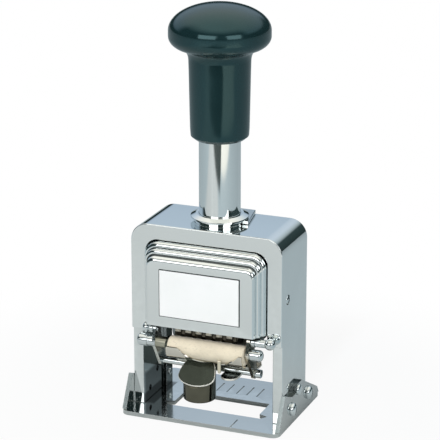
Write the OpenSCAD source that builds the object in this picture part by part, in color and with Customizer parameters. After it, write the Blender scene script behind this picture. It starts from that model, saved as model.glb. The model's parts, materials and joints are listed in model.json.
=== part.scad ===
// Automatic numbering machine: a chromed arch with a sprung plunger, six number wheels
// and an inking pad that swings clear as the wheels come down.
// The plunger axis is the Z axis, the front faces -Y, and the base stands on Z = 0.

/* [Base plate] */
// Width of the base plate across its two ears
base_w = 65.4; // [64:0.1:69]
// Reach of the base plate in front of the plunger axis
base_front = 22.6; // [20:0.1:26]
// Reach of the base plate behind the plunger axis
base_back = 25.9; // [22:0.1:30]
// Sheet thickness of the base plate and its ears
base_t = 1.7; // [1.2:0.1:1.8]
// Corner radius of the base plate
base_corner_r = 3.2; // [1:0.1:5]
// Left reach of the window in the base plate
window_left = 16.6; // [15.5:0.1:19]
// Right reach of the window in the base plate
window_right = 19.2; // [15:0.1:20]
// Front reach of the window
window_front = 10.3; // [9:0.1:12]
// Back reach of the window
window_back = 4.6; // [3:0.1:8]
// Height of the ears above the ground
ear_h = 14.3; // [12:0.1:18]

/* [Frame] */
// Outer width of the arch
frame_w = 62; // [60:0.1:62]
// Reach of the arch in front of the plunger axis
frame_front = 14.35; // [13.5:0.05:15]
// Reach of the arch behind the plunger axis
frame_back = 13.25; // [12.9:0.05:16]
// Height of the top of the arch above the ground
frame_top = 76.7; // [76:0.1:84]
// Thickness of the legs and of the top
frame_wall = 6; // [5.4:0.1:6.2]
// Outer corner radius of the arch
frame_corner_r = 7; // [4:0.1:9]
// Height at which the lower legs are relieved
relief_top = 33.6; // [30:0.1:36]
// Depth of the relief on the front of the legs
relief_front = 1.4; // [0.4:0.1:2]
// Depth of the relief on the inside of the legs
relief_side = 1.9; // [0.5:0.1:2.5]

/* [Covers] */
// How far the front cover stands out of the arch
cover_proud = 6.75; // [5.6:0.05:8]
// Height of the lower edge of the covers
cover_bottom = 38.4; // [38.3:0.1:44]
// Width of one step of the front cover
cover_step = 1.5; // [1:0.1:1.8]
// Wall of the covers
cover_wall = 0.9; // [0.6:0.05:1]
// How far the back cover stands out of the arch
back_proud = 2.4; // [1:0.1:4]
// Width of the blank label
label_w = 33; // [26:0.1:36]
// Height of the blank label
label_h = 19; // [14:0.1:21]
// Thickness of the blank label
label_t = 0.35; // [0.2:0.05:0.6]

/* [Plunger] */
// Radius of the plunger tube
tube_r = 8; // [7.2:0.05:8.2]
// Wall of the plunger tube
tube_wall = 1.4; // [1:0.1:1.6]
// Travel of the plunger from rest to print
stroke = 22.8; // [20:0.1:22.8]
// Height of the whole machine
total_h = 161.5; // [156:0.1:170]
// Radius of the knob's head
knob_head_r = 19.4; // [16:0.1:21]
// Radius of the knob's neck at its foot
knob_neck_r = 11.3; // [10.5:0.1:12.5]
// Height of the knob from foot to crown
knob_h = 52.8; // [50:0.1:54]
// Radius of the guide bush's flange
bush_flange_r = 11.2; // [10.6:0.1:13]
// Running clearance of shafts and of the plunger, per side
running_gap = 0.05; // [0.02:0.01:0.09]

/* [Number wheels] */
// Number of wheels
wheel_count = 6; // [4:1:6]
// Distance from one wheel to the next
wheel_pitch = 4.27; // [3.9:0.01:4.35]
// Radius to the faces of the digits
wheel_r = 10; // [9.4:0.05:10.1]
// Height of the wheel axis above the ground
wheel_z = 33; // [32.9:0.05:33.6]
// Distance of the wheel axis in front of the plunger axis
wheel_front = 3.4; // [2.6:0.05:4]
// Sideways place of the middle of the wheels
row_x = -1; // [-1.5:0.1:1]
// Radius of the wheel shaft
shaft_r = 2.5; // [2:0.05:3]

/* [Pad carrier] */
// Height of the carrier's pivots
pivot_z = 35.8; // [35.6:0.05:36]
// Distance of the pivots in front of the plunger axis
pivot_front = 17.3; // [17.25:0.05:17.6]
// Radius of the rolled front of the felt
nose_r = 4; // [3.4:0.05:4.2]
// Height of the middle of the rolled front
nose_z = 30.2; // [29.6:0.05:30.6]
// Distance of the rolled front's middle in front of the plunger axis
nose_front = 18.4; // [18.2:0.05:18.8]
// Thickness of the felt under the wheels
felt_t = 2.2; // [1.4:0.1:2.4]
// Sheet thickness of the pad tray
tray_t = 0.7; // [0.5:0.05:0.9]
// Radius of the half round pull knob
pull_knob_r = 6.3; // [5:0.1:6.6]
// Height of the foot of the pull knob
pull_knob_foot = 10.7; // [10:0.1:13]

/* [Stop latch] */
// Travel of the stop latch
latch_travel = 2; // [1:0.1:2.2]
// Thickness of the latch plate
latch_t = 1.3; // [1:0.1:1.6]

/* [Fasteners and springs] */
// Radius of an ear screw's head
ear_screw_head_r = 2.3; // [1.8:0.1:2.6]
// Radius of a cover screw's head
cover_screw_head_r = 1.7; // [1.2:0.1:2.2]
// Wire radius of the return spring
spring_wire_r = 0.6; // [0.4:0.05:0.7]
// Number of turns of the return spring
spring_turns = 11; // [8:1:12]

/* [Hidden] */
$fn = 64;

// Overrun of every cut past the faces it opens
cut = 1;
// Free gap between pieces that move past each other
gap = 0.3;
// How far out the straight sides of a link meet its round ends
tangent_share = 0.985;

// Clearance of a cover in the arch
seat_gap = 0.2;

// Frame
leg_x = frame_w / 2;
inner_x = leg_x - frame_wall;
inner_top = frame_top - frame_wall;
cover_corner_r = 5;
inner_corner_r = cover_corner_r + seat_gap;
relief_inner_x = inner_x + relief_side;

// Base plate
base_x = base_w / 2;
ear_inner_x = base_x - base_t;
ear_front_foot = base_front - base_t;
ear_front_top = frame_front;
ear_back_top = 4.2;
ear_back_foot = base_back - base_t;
ear_end_h = 4.6;
ear_dip_front = 6.5;
ear_dip_back = 2.4;
ear_dip_h = 3.2;
ear_lobe_front = 0.6;
ear_screw_z = 6.1;
ear_screw_front = 6.7;
ear_screw_back = 11.6;
ear_rivet_y = 0.4;
ear_rivet_z = 11.6;
ear_hole_r = 1.2;
notch_front = 7.6;
notch_back = 6.2;
notch_w = 3.6;
tick_count = wheel_count + 1;
tick_front = 9.6;
tick_back = 18.2;
tick_w = 0.5;
tick_depth = 0.35;
centre_mark_x = 13.2;

// Rails
rail_t = 1.2;
rail_front = 6.8;
rail_inset = 0.4;
rail_screw_inset = 5.2;
rail_screw_z = [base_t + rail_screw_inset, relief_top - gap - rail_screw_inset];
rail_y = (rail_front + frame_back - rail_inset) / 2;

// Fastener sizes
small_head_r = 1.3;
small_head_t = 0.7;
small_shank_r = 0.8;
ear_screw_head_t = 1.6;
cover_screw_sink = 1;
cover_slot_deg = 60;
ear_slot_deg = 70;
bridge_slot_deg = 25;
rail_slot_deg = 40;
arm_slot_deg = 10;
bridge_screw_head_r = 2;
bridge_screw_head_t = 1.2;
rivet_head_r = 1.8;
rivet_head_t = 0.9;
shank_grip = 3;
screw_slot_w = 0.6;
screw_slot_d = 0.5;
shank_r = ear_hole_r;

// Covers
cover_x = inner_x - seat_gap;
cover_top = inner_top - seat_gap;
cover_steps = 3;
cover_flange_back = 4.4;
cover_screw_y = -7.8;
cover_screw_z = 51.1;
cover_face = frame_front + cover_proud;
label_z = 52.1;

// Number wheels
row_half = wheel_count * wheel_pitch / 2;
wheel_y = -wheel_front;
wheel_gap = gap;
wheel_w = wheel_pitch - wheel_gap;
digit_band_share = 0.69;
digit_proud = 0.8;
ratchet_depth = 1.1;
ratchet_step = 0.25;
digits = 10;
block_h = 4.4;
block_margin = 0.2;
lever_t = 0.9;
lever_x = row_half + gap;
case_x = lever_x + lever_t + gap;
case_t = 1.2;
case_hub_r = 5;
case_neck_r = 6;
case_neck_drop = 5;
case_ear_r = 2.3;
lever_hub_r = 4;
finger_r = wheel_r - digit_proud - ratchet_step + gap;
finger_w = 0.8;
finger_t = 1.6;
finger_boss = 0.7;
detent_deg = 125;
detent_reach = 13.4;
detent_rod_r = 1.1;
pawl_deg = 60;
pawl_reach = 13.6;
pawl_bar_r = 1.2;
clip_r = 3.4;
clip_t = 0.6;
clip_groove = 0.6;
clip_mouth = 1.8;
shaft_end = 0.6;
spacer_r = 1.4;
pawl_top = wheel_z + pawl_reach + pawl_bar_r + finger_boss;

// Plunger
tube_bore_r = tube_r - tube_wall;
tube_clear = 3.5;
tube_foot = pawl_top + tube_clear;
knob_foot = total_h - knob_h;
knob_socket = 20;
knob_flare = 1.3;
knob_waist_r = knob_neck_r + knob_flare;
knob_dome_h = 10.2;
knob_rim_h = 2.1;
knob_under_h = 5;
knob_chamfer = 1.6;
tube_head = knob_foot + knob_socket;
plug_h = 10;
plug_depth = 22;
spring_head = tube_head - plug_h - plug_depth;
stud_r = 2.5;
stud_floor = 3;
stud_grip = 14;
stud_end = 1;
bush_spigot_r = 9.6;
bush_bevel = 1;
latch_gap = 0.15;
bush_flange_foot = frame_top + latch_t + 2 * latch_gap;
bush_h = 1.8;
bush_top = bush_flange_foot + bush_h;

// Crosshead and spring bridge
crosshead_clear = 2.1;
crosshead_top = inner_top - crosshead_clear;
crosshead_h = 8;
crosshead_foot = crosshead_top - crosshead_h;
crosshead_x = 20.4;
spacer_y = -10;
spacer_drop = 4.1;
spacer_z = crosshead_foot - spacer_drop;
crosshead_y = 8.5;
set_screw_r = 1.2;
set_screw_inset = 0.2;
set_screw_length = 6.2;
groove_depth = 3;
case_top_half = 7;
bump_t = inner_top - crosshead_top - gap;
bump_r = 12.6;
bridge_foot = tube_foot + cut;
bridge_t = 3;
bridge_arm_w = 5.2;
bridge_front = 9.6;
bridge_back = 12.6;
bridge_screw_x = 15;
slot_w = bridge_arm_w + 4 * gap;
slot_top = bridge_foot + bridge_t + stroke + 2 * gap;
spring_r = tube_bore_r - spring_wire_r - gap - seat_gap - gap;
spring_foot = bridge_foot + bridge_t;

// Pad carrier
pivot_y = -pivot_front;
pivot_pin_r = 1.2;
pivot_boss_r = 1.9;
pivot_head_r = 2.2;
pivot_neck_r = 1.6;
pivot_head_x = leg_x - frame_wall + seat_gap;
pivot_head_t = 4.4;
short_head_t = 3.2;
pin_proud = 0.4;
arm_t = 1.2;
arm_y = 4.5;
arm_knee_r = 3.2;
arm_knee_z = 37.2;
arm_drop = 3;
arm_screw_y = [-arm_y - small_head_r - seat_gap, -arm_y + small_head_r + seat_gap];
arm_x = crosshead_x;
cheek_t = 1.2;
cheek_top_r = 2.2;
cheek_nose_r = 2.3;
cheek_x = arm_x - gap - seat_gap - cheek_t;
nose_y = -nose_front;
bar_r = 1.5;
bar_rise = 0.8;
bar_z = nose_z + bar_rise;
bar_neck_r = 2.1;
bar_knob_r = 2.4;
bar_knob_x = 22.3;
bar_knob_w = 4.5;
bar_end = 2.6;
sleeve_r = 2.2;
ring_t = 0.9;
ring_step = 0.2;
cap_r = 2.3;
cap_slit_w = 0.5;
cap_slit_d = 0.5;
cap_length = 5.2;
felt_left = -13.1;
felt_right = 18.1;
felt_inner_r = wheel_r + gap;
felt_outer_r = felt_inner_r + felt_t;
tray_outer_r = felt_outer_r + tray_t;
felt_from_deg = -80;
felt_to_deg = -162;
tray_to_deg = -155.5;
lip_from_deg = 168;
lip_to_deg = 323;
lip_cut_r = 16.3;
lip_cut_x = 4.3;
lip_cut_z = 41.8;
rod_r = 1.3;
rod_y = -12.6;
rod_z = 21.3;
rod_boss_r = 2.1;
rod_head_r = 1.7;
rod_head_t = 2.4;
pull_knob_x = -0.5;
pull_knob_y = -19.4;
pull_knob_back = 1.8;
tab_front_z = 18.2;
tab_overhang = 1.2;
tab_lip = 0.3;
tab_t = 0.9;
tab_top_share = 0.65;
tab_front_share = 0.56;
knob_edge = 0.6;
tongue_x = 10.8;
tongue_r = 3.5;
tongue_z = 19.6;
tongue_reach = 3.9;
tongue_t = 0.8;
clip_x = 9;
clip_w = 1.3;
clip_high = 1.6;
clip_low = 6.7;
clip_strip_t = 0.6;
clip_set = 0.2;
tray_foot = nose_z - nose_r - tray_t;
tab_front_y = pull_knob_y - pull_knob_r;
tab_tilt_deg = atan2(tray_foot - tab_front_z, nose_y - tab_front_y);
tab_length = norm([nose_y - tab_front_y, tray_foot - tab_front_z]);

// Stop latch
latch_front = 1.4;
latch_back = frame_back;
latch_left = 4.2;
latch_right = 12.2;
latch_turn = 2.6;
tongue_w = 5;

// Least gap of the spring to itself, printed for checking
spring_pitch = (spring_head - spring_foot - 2 * spring_wire_r) / spring_turns;
echo(spring_least_gap = spring_pitch - 2 * spring_wire_r);

// Extrude a Y-Z outline from x0 to x1
module along_x(x0, x1) {
    translate([x0, 0, 0]) rotate([90, 0, 90]) linear_extrude(x1 - x0) children();
}

// Extrude an X-Z outline from y0 to y1
module along_y(y0, y1) {
    translate([0, y1, 0]) rotate([90, 0, 0]) linear_extrude(y1 - y0) children();
}

// Round bar along X
module bar_x(r, x0, x1, y, z) {
    translate([x0, y, z]) rotate([0, 90, 0]) cylinder(r = r, h = x1 - x0);
}

// Round bar along Y
module bar_y(r, y0, y1, x, z) {
    translate([x, y1, z]) rotate([90, 0, 0]) cylinder(r = r, h = y1 - y0);
}

// Box between two corners
module block(low, high) {
    translate(low) cube(high - low);
}

// Flat link: two discs joined by their outer tangents, held a hair inside them
module link2d(p, rp, q, rq) {
    d = norm(q - p);
    along = atan2(q[1] - p[1], q[0] - p[0]);
    lean = acos((rp - rq) / d);
    left = [cos(along + lean), sin(along + lean)] * tangent_share;
    right = [cos(along - lean), sin(along - lean)] * tangent_share;
    translate(p) circle(rp);
    translate(q) circle(rq);
    polygon([p + rp * right, q + rq * right, q + rq * left, p + rp * left]);
}

// Arch outline: a rectangle standing on z0 with its two upper corners round
module arch2d(half_w, z0, z1, r) {
    translate([-half_w, z0]) square([2 * half_w, z1 - z0 - r]);
    translate([-half_w + r, z0]) square([2 * (half_w - r), z1 - z0]);
    for (s = [-1, 1]) translate([s * (half_w - r), z1 - r]) circle(r);
}

// Ring sector outline about the origin
module sector2d(r_in, r_out, a0, a1) {
    steps = 4;
    step = (a1 - a0) / steps;
    reach = 2 * r_out;
    difference() {
        intersection() {
            circle(r_out);
            polygon(concat([[0, 0]],
                [for (i = [0 : steps]) reach * [cos(a0 + step * i), sin(a0 + step * i)]]));
        }
        circle(r_in);
    }
}

// Plain domed rivet along X
module rivet_x(head_r, head_t, r, length) {
    rotate([0, 90, 0]) rotate_extrude() polygon([[0, -length], [r, -length], [r, 0], [head_r, 0],
        [head_r, head_t * 0.3], [head_r * 0.86, head_t * 0.7], [head_r * 0.5, head_t * 0.95], [0, head_t]]);
}

// Round-headed slotted screw along X, its head above the origin and its shank below
module screw_x(head_r, head_t, r, length, slot_turn) {
    difference() {
        rivet_x(head_r, head_t, r, length);
        rotate([slot_turn, 0, 0]) block([head_t - screw_slot_d, -head_r - cut, -screw_slot_w / 2],
            [head_t + cut, head_r + cut, screw_slot_w / 2]);
    }
}

// Pin along X with a ball-shaped head above the origin
module ball_x(head_r, head_t, r, length) {
    rotate([0, 90, 0]) rotate_extrude() polygon(concat([[0, -length], [r, -length], [r, 0]],
        [for (a = [-40 : 20 : 60]) [head_r * cos(a), head_t / 2 * (1 + sin(a))]], [[0, head_t]]));
}

module frame() {
    color("silver") difference() {
        along_y(-frame_front, frame_back) arch2d(leg_x, base_t, frame_top, frame_corner_r);
        along_y(-frame_front - cut, frame_back + cut)
            arch2d(inner_x, base_t - cut, inner_top, inner_corner_r);
        for (s = [-1, 1]) scale([s, 1, 1]) {
            block([inner_x - cut, -frame_front - cut, base_t - cut],
                [relief_inner_x, frame_back + cut, relief_top]);
            block([inner_x - cut, -frame_front - cut, base_t - cut],
                [leg_x + cut, -frame_front + relief_front, relief_top]);
            bar_x(shank_r, inner_x - cut, leg_x + cut, cover_screw_y, cover_screw_z);
            bar_x(cover_screw_head_r + gap, leg_x - cover_screw_sink, leg_x + cut,
                cover_screw_y, cover_screw_z);
            for (y = [-ear_screw_front, ear_screw_back])
                bar_x(shank_r, relief_inner_x - cut, leg_x + cut, y, ear_screw_z);
            bar_x(shank_r, relief_inner_x - cut, leg_x + cut, ear_rivet_y, ear_rivet_z);
        }
        translate([0, 0, inner_top - cut]) cylinder(r = bush_spigot_r, h = frame_wall + 2 * cut);
    }
}

// One ear, bent up from the side of the base plate
module ear() {
    difference() {
        along_x(ear_inner_x, base_x) polygon([[-ear_front_foot, base_t], [-ear_front_top, ear_h],
            [-ear_dip_front, ear_h - ear_dip_h], [-ear_dip_back, ear_h - ear_dip_h],
            [-ear_lobe_front, ear_h], [ear_back_top, ear_h],
            [ear_back_foot - base_t, ear_end_h], [ear_back_foot, base_t]]);
        for (y = [-ear_screw_front, ear_screw_back])
            bar_x(ear_hole_r, ear_inner_x - cut, base_x + cut, y, ear_screw_z);
        bar_x(ear_hole_r, ear_inner_x - cut, base_x + cut, ear_rivet_y, ear_rivet_z);
    }
}

module base_plate() {
    r = base_corner_r;
    color("lightsteelblue") union() {
        difference() {
            linear_extrude(base_t) union() {
                translate([-base_x + r, -base_front]) square([base_w - 2 * r, base_front + base_back]);
                translate([-base_x, -base_front + r]) square([base_w, base_front + base_back - 2 * r]);
                for (x = [-1, 1], y = [-base_front + r, base_back - r])
                    translate([x * (base_x - r), y]) circle(r);
            }
            translate([0, 0, -cut]) linear_extrude(base_t + 2 * cut) polygon([
                [-window_left, window_back], [-window_left, -notch_back],
                [-window_left - notch_w, -notch_front], [-window_left - notch_w / 2, -window_front],
                [window_right + notch_w / 2, -window_front], [window_right + notch_w, -notch_front],
                [window_right, -notch_back], [window_right, window_back]]);
            for (i = [0 : tick_count - 1]) {
                x = row_x - row_half + i * wheel_pitch;
                block([x - tick_w / 2, tick_front, base_t - tick_depth],
                    [x + tick_w / 2, tick_back, base_t + cut]);
            }
            block([centre_mark_x - tick_w / 2, -base_front - cut, base_t - tick_depth],
                [centre_mark_x + tick_w / 2, -frame_front, base_t + cut]);
        }
        for (s = [-1, 1]) scale([s, 1, 1]) ear();
    }
}

// Stack of arch-shaped steps, the outermost first, standing forward of y0
module step_stack(shrink) {
    depth = cover_proud / cover_steps;
    along_y(-frame_front, -cover_flange_back)
        arch2d(cover_x - shrink, cover_bottom - (shrink > 0 ? cut : 0), cover_top - shrink,
            cover_corner_r - shrink);
    for (i = [0 : cover_steps - 1]) {
        inset = i * cover_step + shrink;
        along_y(-frame_front - (i + 1) * depth + shrink, -frame_front - i * depth + shrink)
            arch2d(cover_x - inset, cover_bottom - (shrink > 0 ? cut : 0), cover_top - inset,
                cover_corner_r - inset / 2);
    }
}

module front_cover() {
    color("silver") difference() {
        step_stack(0);
        step_stack(cover_wall);
        along_y(-cover_flange_back - cut, -cover_flange_back + cut)
            arch2d(cover_x - cover_wall, cover_bottom - cut, cover_top - cover_wall,
                cover_corner_r - cover_wall);
        bar_x(shank_r, -inner_x - cut, inner_x + cut, cover_screw_y, cover_screw_z);
        translate([0, 0, crosshead_foot]) cylinder(r = bump_r + gap, h = frame_top - crosshead_foot);
    }
}

module label_plate() {
    color("white")
        block([-label_w / 2, -cover_face - label_t, label_z - label_h / 2],
            [label_w / 2, -cover_face, label_z + label_h / 2]);
}

module back_cover() {
    color("silver") difference() {
        union() {
            along_y(bridge_back, frame_back) arch2d(cover_x, cover_bottom, cover_top, cover_corner_r);
            along_y(frame_back, frame_back + back_proud)
                arch2d(cover_x - cover_step, cover_bottom + cover_step, cover_top - cover_step,
                    cover_corner_r - cover_step);
        }
        along_y(bridge_back - cut, frame_back + back_proud - cover_wall)
            arch2d(cover_x - 3 * cover_step, cover_bottom + 3 * cover_step, cover_top - 3 * cover_step,
                cover_corner_r - 2 * cover_step);
        for (x = [-bridge_screw_x, bridge_screw_x])
            bar_y(shank_r, bridge_back - cut, frame_back + back_proud + cut, x, bridge_foot + bridge_t / 2);
    }
}

module guide_bush() {
    color("gainsboro") difference() {
        union() {
            translate([0, 0, inner_top]) cylinder(r = bush_spigot_r, h = bush_flange_foot - inner_top);
            translate([0, 0, bush_flange_foot])
                cylinder(r = bush_flange_r, h = bush_top - bush_bevel - bush_flange_foot);
            translate([0, 0, bush_top - bush_bevel])
                cylinder(r1 = bush_flange_r, r2 = bush_flange_r - 2 * bush_bevel, h = bush_bevel);
        }
        translate([0, 0, inner_top - cut])
            cylinder(r = tube_r + running_gap, h = bush_top - inner_top + 2 * cut);
        block([-tongue_w / 2 - gap, 0, frame_top], [tongue_w / 2 + gap, bush_flange_r, bush_flange_foot]);
    }
}

module cover_screws() {
    color("silver") for (s = [-1, 1]) scale([s, 1, 1])
        translate([leg_x - cover_screw_sink, cover_screw_y, cover_screw_z])
            screw_x(cover_screw_head_r, cover_screw_sink, shank_r, frame_wall, cover_slot_deg);
}

module ear_screws() {
    color("gainsboro") for (s = [-1, 1]) scale([s, 1, 1])
        for (y = [-ear_screw_front, ear_screw_back])
            translate([base_x, y, ear_screw_z])
                screw_x(ear_screw_head_r, ear_screw_head_t, shank_r, base_t + shank_grip, ear_slot_deg);
}

module ear_rivets() {
    color("gainsboro") for (s = [-1, 1]) scale([s, 1, 1])
        translate([base_x, ear_rivet_y, ear_rivet_z])
            rivet_x(rivet_head_r, rivet_head_t, ear_hole_r, base_t + shank_grip);
}

module bump_ring() {
    color("dimgray") translate([0, 0, inner_top - bump_t]) difference() {
        cylinder(r = bump_r, h = bump_t);
        translate([0, 0, -cut]) cylinder(r = tube_r + gap, h = bump_t + 2 * cut);
    }
}

module spring_bridge() {
    z0 = bridge_foot;
    z1 = bridge_foot + bridge_t;
    color("gray") difference() {
        union() {
            block([-inner_x, bridge_front, z0 - bridge_t / 2], [inner_x, bridge_back, z1 + bridge_t / 2]);
            block([-bridge_arm_w / 2, 0, z0], [bridge_arm_w / 2, bridge_front, z1]);
            translate([0, 0, z0]) cylinder(r = tube_bore_r - gap, h = bridge_t);
        }
        for (x = [-bridge_screw_x, bridge_screw_x])
            bar_y(shank_r, bridge_front - cut, bridge_back + cut, x, z0 + bridge_t / 2);
    }
}

module bridge_screws() {
    color("gainsboro") for (x = [-bridge_screw_x, bridge_screw_x])
        translate([x, frame_back + back_proud, bridge_foot + bridge_t / 2])
            rotate([0, 0, 90])
                screw_x(bridge_screw_head_r, bridge_screw_head_t, shank_r, back_proud + shank_grip,
                    bridge_slot_deg);
}

// Strip on the inside of a leg, behind the carriage
module rail() {
    difference() {
        block([relief_inner_x - rail_t, rail_front, base_t],
            [relief_inner_x, frame_back - rail_inset, relief_top - gap]);
        for (z = rail_screw_z)
            bar_x(small_shank_r, inner_x - cut, relief_inner_x + cut, rail_y, z);
    }
}

module left_rail() {
    color("lightgray") scale([-1, 1, 1]) rail();
}

module right_rail() {
    color("lightgray") rail();
}

module rail_screws() {
    color("gainsboro") for (s = [-1, 1], z = rail_screw_z)
        scale([s, 1, 1]) translate([relief_inner_x - rail_t, rail_y, z])
            rotate([0, 0, 180]) screw_x(small_head_r, small_head_t, small_shank_r, rail_t, rail_slot_deg);
}

module stop_latch() {
    z0 = frame_top + latch_gap;
    hole_r = bush_spigot_r + gap;
    color("lightsteelblue") difference() {
        translate([0, 0, z0]) linear_extrude(latch_t) polygon([[-latch_left, latch_back],
            [-latch_left, 0], [latch_left, -latch_front], [latch_right, -latch_front],
            [latch_right - latch_turn, latch_back]]);
        difference() {
            union() {
                translate([0, 0, z0 - cut]) cylinder(r = hole_r, h = latch_t + 2 * cut);
                translate([0, latch_travel, z0 - cut]) cylinder(r = hole_r, h = latch_t + 2 * cut);
            }
            block([-tongue_w / 2, tube_r + latch_travel + gap, z0 - cut],
                [tongue_w / 2, latch_back, z0 + latch_t + cut]);
        }
    }
}

// Points of a coil standing on the Z axis, its ends run level for a start and an end turn
function coil_point(a, r, z0, rise) = [r * cos(a), r * sin(a), z0 + rise * a / 360];

// Tube swept along the coil
module coil(r, wire_r, z0, rise, turns) {
    rings = 8;
    sides = 6;
    count = rings * turns + 1;
    points = [for (i = [0 : count - 1], k = [0 : sides - 1])
        let (a = i * 360 / rings, c = coil_point(a, r, z0, rise), b = k * 360 / sides)
        c + wire_r * (cos(b) * [cos(a), sin(a), 0] + sin(b) * [0, 0, 1])];
    walls = [for (i = [0 : count - 2], k = [0 : sides - 1])
        let (m = (k + 1) % sides, p = i * sides, q = p + sides)
        each [[p + k, q + k, q + m], [p + k, q + m, p + m]]];
    ends = [for (k = [1 : sides - 2]) each [[0, k, k + 1],
        [(count - 1) * sides, (count - 1) * sides + k + 1, (count - 1) * sides + k]]];
    polyhedron(points, concat(walls, ends));
}

module return_spring() {
    color("gray") coil(spring_r, spring_wire_r, spring_foot + spring_wire_r, spring_pitch, spring_turns);
}

// Half outline of the knob, radius against height above its foot
module knob2d() {
    equator = knob_h - knob_dome_h;
    rim = equator - knob_rim_h;
    under_r = knob_head_r - knob_waist_r;
    polygon(concat(
        [[0, 0], [knob_neck_r - knob_chamfer * 1.3, 0], [knob_neck_r - 0.1 * knob_chamfer, knob_chamfer],
            [knob_neck_r, 3 * knob_chamfer], [knob_neck_r + 0.2 * knob_chamfer, knob_socket],
            [knob_waist_r - 0.35 * knob_chamfer, rim - knob_under_h - 1.2 * knob_chamfer]],
        [for (a = [-90 : 10 : 0]) [knob_waist_r + under_r * cos(a), rim + knob_under_h * sin(a)]],
        [for (a = [0 : 6 : 84]) [knob_head_r * cos(a), equator + knob_dome_h * sin(a)]],
        [[0, knob_h]]));
}

module knob() {
    color("darkslategray") translate([0, 0, knob_foot]) difference() {
        rotate_extrude() knob2d();
        translate([0, 0, -cut]) cylinder(r = tube_r, h = knob_socket + cut);
        translate([0, 0, knob_socket - cut]) cylinder(r = stud_r, h = stud_grip + cut);
    }
}

module plunger_tube() {
    color("gainsboro") difference() {
        translate([0, 0, tube_foot]) cylinder(r = tube_r, h = tube_head - tube_foot);
        translate([0, 0, tube_foot - cut]) cylinder(r = tube_bore_r, h = tube_head - tube_foot + 2 * cut);
        block([-slot_w / 2, 0, tube_foot - cut], [slot_w / 2, tube_r + cut, slot_top]);
        for (s = [-1, 1]) scale([s, 1, 1])
            bar_x(set_screw_r, tube_bore_r - cut, tube_r + cut, 0, crosshead_foot + crosshead_h / 2);
    }
}

module tube_plug() {
    color("gray") difference() {
        translate([0, 0, spring_head]) cylinder(r = tube_bore_r, h = plug_h);
        translate([0, 0, spring_head + stud_floor]) cylinder(r = stud_r, h = plug_h);
    }
}

module knob_stud() {
    color("gray") translate([0, 0, spring_head + stud_floor])
        cylinder(r = stud_r, h = tube_head + stud_grip - stud_end - spring_head - stud_floor);
}

module crosshead() {
    color("darkgray") difference() {
        union() {
            block([-crosshead_x, -crosshead_y, crosshead_foot], [crosshead_x, crosshead_y, crosshead_top]);
        }
        translate([0, 0, crosshead_foot - cut]) cylinder(r = tube_r, h = crosshead_h + 2 * cut);
        block([-slot_w / 2, 0, crosshead_foot - cut], [slot_w / 2, crosshead_y + cut, crosshead_top + cut]);
        bar_x(set_screw_r, -crosshead_x - cut, crosshead_x + cut, 0, crosshead_foot + crosshead_h / 2);
        for (s = [-1, 1])
            translate([row_x + s * (case_x + case_t / 2), 0, crosshead_foot])
                block([-case_t / 2, -case_top_half, -cut], [case_t / 2, case_top_half, groove_depth]);
    }
}

module crosshead_screws() {
    color("gray") for (s = [-1, 1]) scale([s, 1, 1])
        bar_x(set_screw_r, tube_bore_r + set_screw_inset, tube_bore_r + set_screw_length, 0,
            crosshead_foot + crosshead_h / 2);
}

function polar(r, a) = [wheel_y + r * cos(a), wheel_z + r * sin(a)];

// Side plate of the wheel case
module case_plate(x0) {
    neck = [0, crosshead_foot - case_neck_drop];
    color("lightgray") along_x(x0, x0 + case_t) difference() {
        union() {
            link2d([wheel_y, wheel_z], case_hub_r, neck, case_neck_r);
            link2d([wheel_y, wheel_z], case_hub_r - case_t, polar(detent_reach, detent_deg), case_ear_r);
            link2d([spacer_y, spacer_z], case_ear_r, neck, case_neck_r);
            translate([-case_top_half, crosshead_foot - case_neck_r])
                square([2 * case_top_half, case_neck_r + groove_depth]);
        }
        translate([wheel_y, wheel_z]) circle(shaft_r);
        translate(polar(detent_reach, detent_deg)) circle(detent_rod_r);
        translate([spacer_y, spacer_z]) circle(spacer_r);
    }
}

module wheel_case_left() {
    case_plate(row_x - case_x - case_t);
}

module wheel_case_right() {
    case_plate(row_x + case_x);
}

module case_spacer() {
    color("gray") bar_x(spacer_r, row_x - case_x - case_t, row_x + case_x + case_t, spacer_y, spacer_z);
}

module wheel_shaft() {
    reach = case_x + case_t + clip_t + shaft_end;
    color("gray") difference() {
        bar_x(shaft_r, row_x - reach, row_x + reach, wheel_y, wheel_z);
        for (s = [-1, 1]) translate([row_x, 0, 0]) scale([s, 1, 1])
            difference() {
                bar_x(shaft_r + cut, case_x + case_t, case_x + case_t + clip_t, wheel_y, wheel_z);
                bar_x(shaft_r - clip_groove, case_x + case_t - cut, case_x + case_t + clip_t + cut,
                    wheel_y, wheel_z);
            }
    }
}

module shaft_clips() {
    color("silver") for (s = [-1, 1]) translate([row_x, 0, 0]) scale([s, 1, 1])
        along_x(case_x + case_t, case_x + case_t + clip_t) translate([wheel_y, wheel_z]) difference() {
            circle(clip_r);
            circle(shaft_r - clip_groove);
            translate([-clip_mouth / 2, -clip_r - cut]) square([clip_mouth, clip_r + cut]);
        }
}

// Arm that hangs from the end of the crosshead and carries one pivot of the pad carrier
module pad_arm() {
    color("lightgray") along_x(arm_x, arm_x + arm_t) difference() {
        union() {
            translate([-arm_y - arm_knee_r, arm_knee_z])
                square([2 * arm_knee_r, crosshead_foot + crosshead_h - arm_drop - arm_knee_z]);
            link2d([pivot_y, pivot_z], pivot_boss_r, [-arm_y, arm_knee_z], arm_knee_r);
        }
        translate([pivot_y, pivot_z]) circle(pivot_pin_r);
        for (y = arm_screw_y) translate([y, crosshead_foot + crosshead_h / 2]) circle(small_shank_r);
    }
}

module pad_arm_left() {
    scale([-1, 1, 1]) pad_arm();
}

module pad_arm_right() {
    pad_arm();
}

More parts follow.
